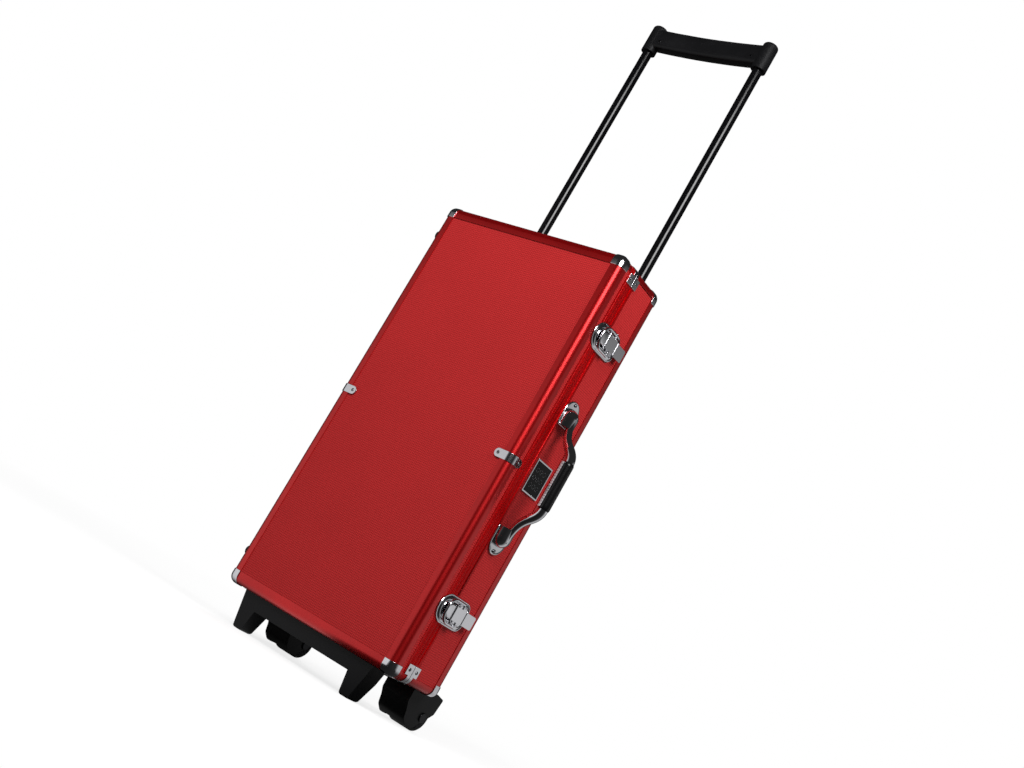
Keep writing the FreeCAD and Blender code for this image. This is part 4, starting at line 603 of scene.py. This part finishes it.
def stage_world(settings):
    world = bpy.data.worlds.new("soft_studio")
    bpy.context.scene.world = world
    world.use_nodes = True
    tree = world.node_tree
    tree.nodes.clear()
    fill = add(tree, "ShaderNodeBackground", in_0=(1.0, 1.0, 1.0, 1.0), in_1=settings.fill)
    white = add(tree, "ShaderNodeBackground", in_0=(1.0, 1.0, 1.0, 1.0), in_1=1.0)
    mixed = add(tree, "ShaderNodeMixShader",
                [(0, ray_share(tree, "Is Camera Ray", "Is Glossy Ray", "Is Transmission Ray")),
                 (1, fill.outputs[0]), (2, white.outputs[0])])
    add(tree, "ShaderNodeOutputWorld", [(0, mixed.outputs[0])])


def around(azimuth, distance, height):
    """Point round the case. Azimuth 0 is in front of the lid, 90 is beside the latches."""
    turn = math.radians(azimuth)
    return Vector((CENTRE.x + distance * math.sin(turn), CENTRE.y - distance * math.cos(turn), height))


def softbox(name, azimuth, distance, height, width, tall, power, mirrored=False):
    """Lamp that either lights dull surfaces or is seen in polished ones."""
    data = bpy.data.lights.new(name, "AREA")
    data.shape = "RECTANGLE"
    data.size = width
    data.size_y = tall
    data.energy = power
    obj = bpy.data.objects.new(name, data)
    bpy.context.scene.collection.objects.link(obj)
    place = around(azimuth, distance, height)
    turn = (Vector((CENTRE.x, CENTRE.y, 0.4)) - place).to_track_quat("-Z", "Y").to_matrix().to_4x4()
    obj.matrix_world = Matrix.Translation(place) @ turn
    obj.visible_glossy = mirrored
    obj.visible_diffuse = not mirrored


def hide_lamp(pieces):
    """Keep the edge lamp out of some pieces, as a flag set between them does in a studio."""
    linking = bpy.data.objects["edge_softbox"].light_linking
    if not linking.receiver_collection:
        linking.receiver_collection = bpy.data.collections.new("flagged")
    flagged = linking.receiver_collection
    for piece in pieces:
        flagged.objects.link(piece)
    for entry in flagged.collection_objects:
        entry.light_linking.link_state = "EXCLUDE"


def stage_tent(settings):
    """Grey tent with dark and pale walls that only polished surfaces see, as in a product studio."""
    bpy.ops.mesh.primitive_uv_sphere_add(segments=64, ring_count=32, radius=settings.floor_radius * 0.8)
    tent = bpy.context.object
    tent.name = "studio_tent"
    tent.location = CENTRE
    material = bpy.data.materials.new("grey_tent_cloth")
    material.use_nodes = True
    tree = material.node_tree
    tree.nodes.clear()
    place = tree.nodes.new("ShaderNodeTexCoord").outputs["Object"]
    unit = add(tree, "ShaderNodeVectorMath", [(0, place)], operation="NORMALIZE")
    parts = add(tree, "ShaderNodeSeparateXYZ", [(0, unit.outputs[0])])
    fade = ramp(tree, parts.outputs[2], [(height, (left, left, left, 1.0)) for height, left in WALL_FADE])
    roof = add(tree, "ShaderNodeMix", [(0, fade), (7, tent_walls(tree, parts))], data_type="RGBA",
               in_6=(settings.roof,) * 3 + (1.0,))
    glow = add(tree, "ShaderNodeEmission", [(0, roof.outputs[2])], in_1=1.0)
    add(tree, "ShaderNodeOutputMaterial", [(0, glow.outputs[0])])
    tent.data.materials.append(material)
    tent.visible_camera = False
    tent.visible_diffuse = False
    tent.visible_transmission = False
    tent.visible_shadow = False


def stage_camera():
    """Camera solved from the photograph's lines: low, close in height to the wheels, and turned about its axis."""
    data = bpy.data.cameras.new("photo_camera")
    data.sensor_width = 36.0
    data.lens = 48.505
    data.clip_end = 50.0
    obj = bpy.data.objects.new("photo_camera", data)
    bpy.context.scene.collection.objects.link(obj)
    right = Vector((0.73209, 0.47366, 0.48958)).normalized()
    ahead = Vector((-0.62123, 0.75910, 0.19453)).normalized()
    up = right.cross(ahead).normalized()
    place = Vector((CENTRE.x + 1.10906, CENTRE.y - 1.29229, 0.09010))
    obj.matrix_world = Matrix.Translation(place) @ Matrix((right, up, -ahead)).transposed().to_4x4()
    bpy.context.scene.camera = obj


# Settings

class GameCaseColours(bpy.types.PropertyGroup):
    """Colours of the case, as sRGB hex."""
    panel: bpy.props.StringProperty(
        name="Panels", description="Laminate on the boards", default="#A82728")
    edging: bpy.props.StringProperty(
        name="Edging", description="Dyed aluminium of the edging", default="#BE0308")
    chrome: bpy.props.StringProperty(
        name="Chrome", description="Plated caps, latches and handle", default="#D6D6DA")
    plastic: bpy.props.StringProperty(
        name="Plastic", description="Black mouldings", default="#0B0B0C")
    rod: bpy.props.StringProperty(
        name="Rods", description="Enamelled rods and tubes", default="#050506")


class GameCaseShapes(bpy.types.PropertyGroup):
    """Sizes of what is finer than the solids."""
    plate_edge: bpy.props.FloatProperty(
        name="Plate edge", description="Round on pressed plates, in millimetres", default=0.3, min=0.05, max=0.45)
    bead: bpy.props.FloatProperty(
        name="Lever bead", description="Radius of the bead across a lever", default=0.0006, unit="LENGTH")
    moulding_edge: bpy.props.FloatProperty(
        name="Moulding edge", description="Round on plastic mouldings, in millimetres", default=1.0, min=0.1, max=1.5)
    bar: bpy.props.FloatProperty(
        name="Handle bar", description="Radius of the carry handle's bar", default=0.0047, unit="LENGTH")
    foam_pitch: bpy.props.FloatProperty(
        name="Foam pitch", description="Distance between the foam's peaks", default=0.0202, unit="LENGTH")


class GameCaseStage(bpy.types.PropertyGroup):
    """Floor, tent and light."""
    floor_radius: bpy.props.FloatProperty(
        name="Floor", description="Radius of the floor", default=6.0, unit="LENGTH")
    floor_mirror: bpy.props.FloatProperty(
        name="Floor in mirrors", description="How bright polished surfaces see the floor", default=0.85)
    fill: bpy.props.FloatProperty(
        name="Fill", description="Strength of the light from all round", default=0.13)
    roof: bpy.props.FloatProperty(
        name="Tent roof", description="Grey of the tent above the case", default=0.025)


# Steps

class GAMECASE_OT_stage(bpy.types.Operator):
    """Set out the floor, the tent, the lamps and the camera"""
    bl_idname = "game_case.stage"
    bl_label = "Stage"

    def execute(self, context):
        settings = context.scene.game_case_stage
        stage_floor(settings)
        stage_world(settings)
        stage_tent(settings)
        softbox("edge_softbox", 50, 2.3, 1.55, 1.4, 0.8, 47, mirrored=True)
        softbox("front_softbox", 10, 1.12, 1.42, 1.0, 0.7, 29)
        softbox("side_softbox", 88, 1.15, 1.42, 0.9, 0.7, 26)
        softbox("rear_softbox", -150, 1.5, 1.6, 1.2, 1.2, 24)
        stage_camera()
        return {"FINISHED"}


class GAMECASE_OT_finishes(bpy.types.Operator):
    """Make the materials"""
    bl_idname = "game_case.finishes"
    bl_label = "Finishes"

    def execute(self, context):
        make_finishes(context.scene.game_case_colours)
        return {"FINISHED"}


class GAMECASE_OT_boards(bpy.types.Operator):
    """Laminate on the four boards, its lattice turned to the side that shows"""
    bl_idname = "game_case.boards"
    bl_label = "Boards"

    def execute(self, context):
        boards = [frame["nodes"][node] for node in ("lid_front_panel", "back_panel", "lid_side_walls",
                                                    "body_side_walls")]
        for board in boards:
            mesh = board.data
            mesh.materials.clear()
            for finish in ("board_side", "board_face", "board_end"):
                mesh.materials.append(FINISHES[finish])
            for polygon in mesh.polygons:
                polygon.material_index = max(range(3), key=lambda axis: abs(polygon.normal[axis]))
        hide_lamp(boards)
        return {"FINISHED"}


class GAMECASE_OT_edging(bpy.types.Operator):
    """Anodised extrusions along the edges and the seam"""
    bl_idname = "game_case.edging"
    bl_label = "Edging"

    def execute(self, context):
        for side in ("lid", "body"):
            strips = [refined(f"{side}_{part}", "anodised") for part in ("edging", "corner_edging")]
            refined(f"{side}_valance", "ribbed")
        hide_lamp(strips)
        return {"FINISHED"}


class GAMECASE_OT_plates(bpy.types.Operator):
    """Chrome corner caps, seam plates and straps"""
    bl_idname = "game_case.plates"
    bl_label = "Corner caps and plates"

    def execute(self, context):
        edge = context.scene.game_case_shapes.plate_edge
        for node in ("lid_corner_caps", "body_corner_caps", "lid_seam_plates", "body_seam_plates",
                     "lid_mid_straps"):
            refined(node, "chrome", edge)
        return {"FINISHED"}


class GAMECASE_OT_screws(bpy.types.Operator):
    """Cross-headed screws in the plates, the base and the trolley handle"""
    bl_idname = "game_case.screws"
    bl_label = "Screws"

    def execute(self, context):
        tree = screw_tree()
        for node, finish, slot in (("lid_rivets", "zinc", 0.5), ("body_rivets", "zinc", 0.5),
                                   ("base_screws", "oxide", 0.4)):
            screws(node, finish, tree, CENTRE, slot)
        low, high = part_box("trolley_grip")
        screws("trolley_grip_screws", "oxide", tree, (low + high) / 2, 0.4)
        return {"FINISHED"}


class GAMECASE_OT_latches(bpy.types.Operator):
    """Two draw latches: stepped plate in two halves, lever, and round ring with its tongue"""
    bl_idname = "game_case.latches"
    bl_label = "Latches"

    def execute(self, context):
        shapes = context.scene.game_case_shapes
        sweep = sweep_tree()
        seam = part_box("upper_latch_base")[0].y
        side = CASE_HIGH.x
        rim = ((0.0, 0.1), (0.0, 0.6), (0.5, 1.1), (1.3, 1.2), (1.9, 0.7), (2.5, 1.0), (3.2, 1.7), (4.3, 2.3),
               (5.4, 2.5), (6.0, 1.7), (6.8, 1.6), (7.5, 2.4))
        for stem in ("upper", "lower"):
            base_low, base_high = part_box(f"{stem}_latch_base")
            ring_low, ring_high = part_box(f"{stem}_latch_ring")
            lever_low, lever_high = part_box(f"{stem}_latch_lever")
            z = (base_low.z + base_high.z) / 2
            half = (base_high.z - base_low.z) / 2
            y_ends = (ring_low.y - 5.4 * MM, base_high.y)
            z_ends = (z - half, z + half)
            radii = (half * 0.97, half * 0.97, half * 0.6, half * 0.6)
            built_up(f"{stem}_latch_plate", side, y_ends, z_ends, radii, rim, "case", "chrome",
                     cuts=[((0, seam, 0), (0, -1, 0))])
            built_up(f"{stem}_catch_plate", side, y_ends, z_ends, radii, rim, "lid", "chrome",
                     (f"{stem}_latch_catch",), cuts=[((0, seam - 0.3 * MM, 0), (0, 1, 0))])
            refined(f"{stem}_latch_base", "chrome", 0.3, cuts=[((side + 2.6 * MM, 0, 0), (-1, 0, 0))])
            refined(f"{stem}_latch_lever", "chrome", 0.35)
            refined(f"{stem}_ring_pin", "chrome")
            bar = (ring_high.x - ring_low.x) / 2
            x = (ring_low.x + ring_high.x) / 2
            y_left = ring_low.y + 2.6 * MM
            outline = rounded_outline((y_left, ring_high.y + 20 * MM), z_ends, (half * 0.8,) * 2 + (0.1 * MM,) * 2,
                                      bar + (ring_low.z - base_low.z))
            arc = outline[:22]
            y_pin = ring_high.y - bar
            path = [(x, y_pin, arc[0][1])] + [(x, y, z_point) for y, z_point in arc] + [(x, y_pin, arc[-1][1])]
            grow(f"{stem}_latch_ring.bar", line_mesh(path, [bar] * len(path)), sweep, f"{stem}_ring", "chrome",
                 (f"{stem}_latch_ring",), Sides=16)
            tongue = ((1.0, 0.0), (0.0, 0.3), (0.0, 2.2), (0.3, 2.8), (0.9, 3.1), (1.5, 3.2))
            lever_half = (lever_high.z - lever_low.z) / 2
            built_up(f"{stem}_ring_tongue", ring_low.x + 0.4 * MM, (y_left + bar * 1.4, lever_low.y - 0.3 * MM),
                     (z - lever_half, z + lever_half), (lever_half * 0.8,) * 2 + (0.3 * MM,) * 2, tongue,
                     f"{stem}_ring", "chrome")
            y_step = lever_low.y + (lever_high.y - lever_low.y) * 0.5
            bead = [(lever_high.x, y_step, z - lever_half * 0.93), (lever_high.x, y_step, z + lever_half * 0.93)]
            grow(f"{stem}_lever_bead", line_mesh(bead, [shapes.bead] * 2), sweep, f"{stem}_lever", "chrome", Sides=10)
        refined("latch_lever_pins", "chrome")
        return {"FINISHED"}


class GAMECASE_OT_carry_handle(bpy.types.Operator):
    """Chrome bail that swells towards its grip, the grip with its toothed strip, and the two brackets"""
    bl_idname = "game_case.carry_handle"
    bl_label = "Carry handle"

    def execute(self, context):
        bar = context.scene.game_case_shapes.bar
        swelling = 0.36
        low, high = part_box("handle_bail")
        grip_low, grip_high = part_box("carry_grip")
        middle = (grip_low + grip_high) / 2
        half = (high.z - low.z) / 2
        grip_half = (grip_high.z - grip_low.z) / 2
        start = Vector((low.x + bar, middle.y, half))
        finish = Vector((middle.x, middle.y, grip_half * 0.9))
        rise = Vector((0, 0, half - grip_half))
        side = []
        for step in range(33):
            t = step / 32
            point = (start * (1 - t) ** 3 + (start - rise * 0.8) * 3 * t * (1 - t) ** 2
                     + (finish + rise * 0.4) * 3 * t ** 2 * (1 - t) + finish * t ** 3)
            side.append((point, bar * (1 + swelling * min(1.0, t / 0.6) ** 1.5)))
        points = [(p.x, p.y, middle.z + p.z) for p, r in side] + [(p.x, p.y, middle.z - p.z) for p, r in side[::-1]]
        thick = [r for p, r in side] + [r for p, r in side[::-1]]
        tree = sweep_tree()
        pieces = [grow("handle_bail.bar", line_mesh(points, thick), tree, "carry_handle", "chrome", ("handle_bail",),
                       Sides=24)]
        radius = (grip_high.x - grip_low.x) / 2
        sleeve = []
        swell = []
        for step in range(41):
            t = step / 40 * 2 - 1
            sleeve.append((middle.x, middle.y, middle.z + t * grip_half))
            swell.append(radius * (0.98 - 0.26 * max(0.0, (abs(t) - 0.86) / 0.14) ** 2))
        grow("carry_grip.sleeve", line_mesh(sleeve, swell), tree, "carry_handle", "nylon", ("carry_grip",), Sides=32)
        turn = math.radians(246)
        strip = [(middle.x + math.cos(turn) * radius * 0.96, middle.y + math.sin(turn) * radius * 0.96,
                  middle.z + (step / 17 - 0.5) * grip_half * 1.72) for step in range(18)]
        grow("carry_grip.teeth", line_mesh(strip), row_tree(), "carry_handle", "chrome",
             Size=(3.8 * MM, 3.4 * MM, 2.9 * MM))
        plate = ((0.0, 0.1), (0.0, 0.9), (0.5, 1.5), (1.3, 1.7), (2.2, 1.3), (2.8, 1.2))
        hood = ((0.0, 0.9), (0.3, 3.0), (1.0, 5.5), (2.2, 7.9), (3.9, 10.1), (6.0, 11.8), (8.4, 12.9), (10.6, 13.3))
        for stem, up in (("upper", 1), ("lower", -1)):
            low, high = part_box(f"{stem}_handle_bracket")
            z_open, z_far = (low.z, high.z) if up > 0 else (high.z, low.z)
            half = (high.z - low.z) * 0.44
            round_end = (half * 0.2, half, half, half * 0.2) if up > 0 else (half, half * 0.2, half * 0.2, half)
            y_ends = (middle.y - half, middle.y + half)
            built_up(f"{stem}_bracket_plate", CASE_HIGH.x, y_ends, (low.z, high.z), round_end, plate, "case", "chrome",
                     (f"{stem}_handle_bracket",))
            z_hood = z_open + (z_far - z_open) * 0.72
            reach = sorted((z_open - up * half, z_hood))
            y_hood = (middle.y - half * 0.8, middle.y + half * 0.8)
            pieces.append(built_up(f"{stem}_bracket_hood", CASE_HIGH.x, y_hood, reach, (half * 0.79,) * 4, hood,
                                   "case", "chrome", cuts=[((0, 0, z_open + up * 0.4 * MM), (0, 0, -up))]))
        hide_lamp(pieces)
        return {"FINISHED"}


class GAMECASE_OT_badge(bpy.types.Operator):
    """Plain badge: chrome frame, black plate and a square of small rings"""
    bl_idname = "game_case.badge"
    bl_label = "Badge"

    def execute(self, context):
        refined("badge_frame", "chrome", 0.45, 3)
        refined("badge_plate", "lacquer", 0.1)
        low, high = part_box("badge_plate")
        middle = (low + high) / 2
        pitch = (high.y - low.y) * 0.25
        spots = line_mesh([(high.x, middle.y + i * pitch, middle.z + j * pitch * 1.25)
                           for i in (-1, 0, 1) for j in (-1, 0, 1)])
        grow("badge_rings", spots, ring_tree(), "case", "zinc", Radius=pitch * 0.34, Wire=0.28 * MM)
        return {"FINISHED"}


class GAMECASE_OT_hinges(bpy.types.Operator):
    """Hinges and the rubber side feet"""
    bl_idname = "game_case.hinges"
    bl_label = "Hinges and side feet"

    def execute(self, context):
        edge = context.scene.game_case_shapes.plate_edge
        for stem in ("upper", "lower"):
            refined(f"{stem}_hinge_lid_leaf", "chrome", edge)
            refined(f"{stem}_hinge_body_leaf", "chrome", edge)
        refined("hinge_pins", "zinc")
        refined("lid_bumpers", "rubber", 0.8, 3)
        refined("body_bumpers", "rubber", 0.8, 3)
        return {"FINISHED"}


class GAMECASE_OT_trolley(bpy.types.Operator):
    """Telescopic rods, their tubes, bracket and handle"""
    bl_idname = "game_case.trolley"
    bl_label = "Trolley"

    def execute(self, context):
        edge = context.scene.game_case_shapes.moulding_edge
        for side in ("left", "right"):
            refined(f"trolley_rod_{side}", "enamel")
            refined(f"trolley_tube_{side}", "enamel")
        refined("trolley_top_bracket", "abs", edge * 0.5)
        refined("rod_sliders", "abs")
        refined("trolley_grip", "abs", edge * 0.8, 3)
        return {"FINISHED"}


class GAMECASE_OT_base(bpy.types.Operator):
    """Moulded base with its feet, and the wheels on their axles"""
    bl_idname = "game_case.base"
    bl_label = "Base and wheels"

    def execute(self, context):
        edge = context.scene.game_case_shapes.moulding_edge
        refined("trolley_base", "abs", edge, 3, seat=(CASE_LOW.z - BASE_GAP, CASE_LOW.z - 0.05 * MM))
        for side in ("left", "right"):
            refined(f"wheel_hub_{side}", "hub", 0.4)
            refined(f"tyre_{side}", "rubber", 0.8, 3)
            refined(f"axle_{side}", "oxide", 0.5, 3)
        return {"FINISHED"}


class GAMECASE_OT_lining(bpy.types.Operator):
    """Flocked foam tray with its wells, and the convoluted foam in the lid"""
    bl_idname = "game_case.lining"
    bl_label = "Lining"

    def execute(self, context):
        tray = refined("tile_tray", "foam", 1.6, 3)
        pitch = context.scene.game_case_shapes.foam_pitch
        low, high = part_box("lid_lining_pad")
        width, length, thick = high.x - low.x, high.z - low.z, high.y - low.y
        pad = grow("lid_lining_pad.foam", line_mesh([(0, 0, 0)]), egg_tree(), "lid", "foam", ("lid_lining_pad",),
                   Width=width, Length=length, Pitch=pitch, Depth=thick * 0.62, Across=int(width / pitch) * 8 + 1,
                   Along=int(length / pitch) * 8 + 1)
        lay = Matrix.Translation(((low.x + high.x) / 2, low.y + thick * 0.38, (low.z + high.z) / 2))
        pad.data.transform(lay @ Matrix.Rotation(-math.pi / 2, 4, "X"))
        shape = bmesh.new()
        shape.from_mesh(pad.data)
        skirt = bmesh.ops.extrude_edge_only(shape, edges=[edge for edge in shape.edges if edge.is_boundary])["geom"]
        for vertex in [item for item in skirt if isinstance(item, bmesh.types.BMVert)]:
            vertex.co.y = low.y
        bmesh.ops.contextual_create(shape, geom=[item for item in skirt if isinstance(item, bmesh.types.BMEdge)
                                                 and item.is_boundary])
        bmesh.ops.recalc_face_normals(shape, faces=shape.faces)
        shape.to_mesh(pad.data)
        shape.free()
        smooth(pad.data, 40)
        return {"FINISHED"}


class GAMECASE_PT_panel(bpy.types.Panel):
    """Settings and steps of the case"""
    bl_label = "Game Case"
    bl_idname = "GAMECASE_PT_panel"
    bl_space_type = "VIEW_3D"
    bl_region_type = "UI"
    bl_category = "Game Case"

    def draw(self, context):
        for name in GROUPS:
            group = getattr(context.scene, name)
            for key in group.__annotations__:
                self.layout.prop(group, key)
        for step in STEPS:
            self.layout.operator(step.bl_idname)


STEPS = (GAMECASE_OT_stage, GAMECASE_OT_finishes, GAMECASE_OT_boards, GAMECASE_OT_edging, GAMECASE_OT_plates,
         GAMECASE_OT_screws, GAMECASE_OT_latches, GAMECASE_OT_carry_handle, GAMECASE_OT_badge, GAMECASE_OT_hinges,
         GAMECASE_OT_trolley, GAMECASE_OT_base, GAMECASE_OT_lining)
GROUPS = {"game_case_colours": GameCaseColours, "game_case_shapes": GameCaseShapes, "game_case_stage": GameCaseStage}
CLASSES = tuple(GROUPS.values()) + STEPS + (GAMECASE_PT_panel,)


def register():
    for cls in CLASSES:
        bpy.utils.register_class(cls)
    for name, group in GROUPS.items():
        setattr(bpy.types.Scene, name, bpy.props.PointerProperty(type=group))


def unregister():
    for name in GROUPS:
        delattr(bpy.types.Scene, name)
    for cls in reversed(CLASSES):
        bpy.utils.unregister_class(cls)


def main():
    register()
    bpy.context.scene.view_settings.view_transform = "Standard"
    for step in STEPS:
        group, name = step.bl_idname.split(".")
        getattr(getattr(bpy.ops, group), name)()
    bpy.context.view_layer.update()


if __name__ == "__main__":
    main()
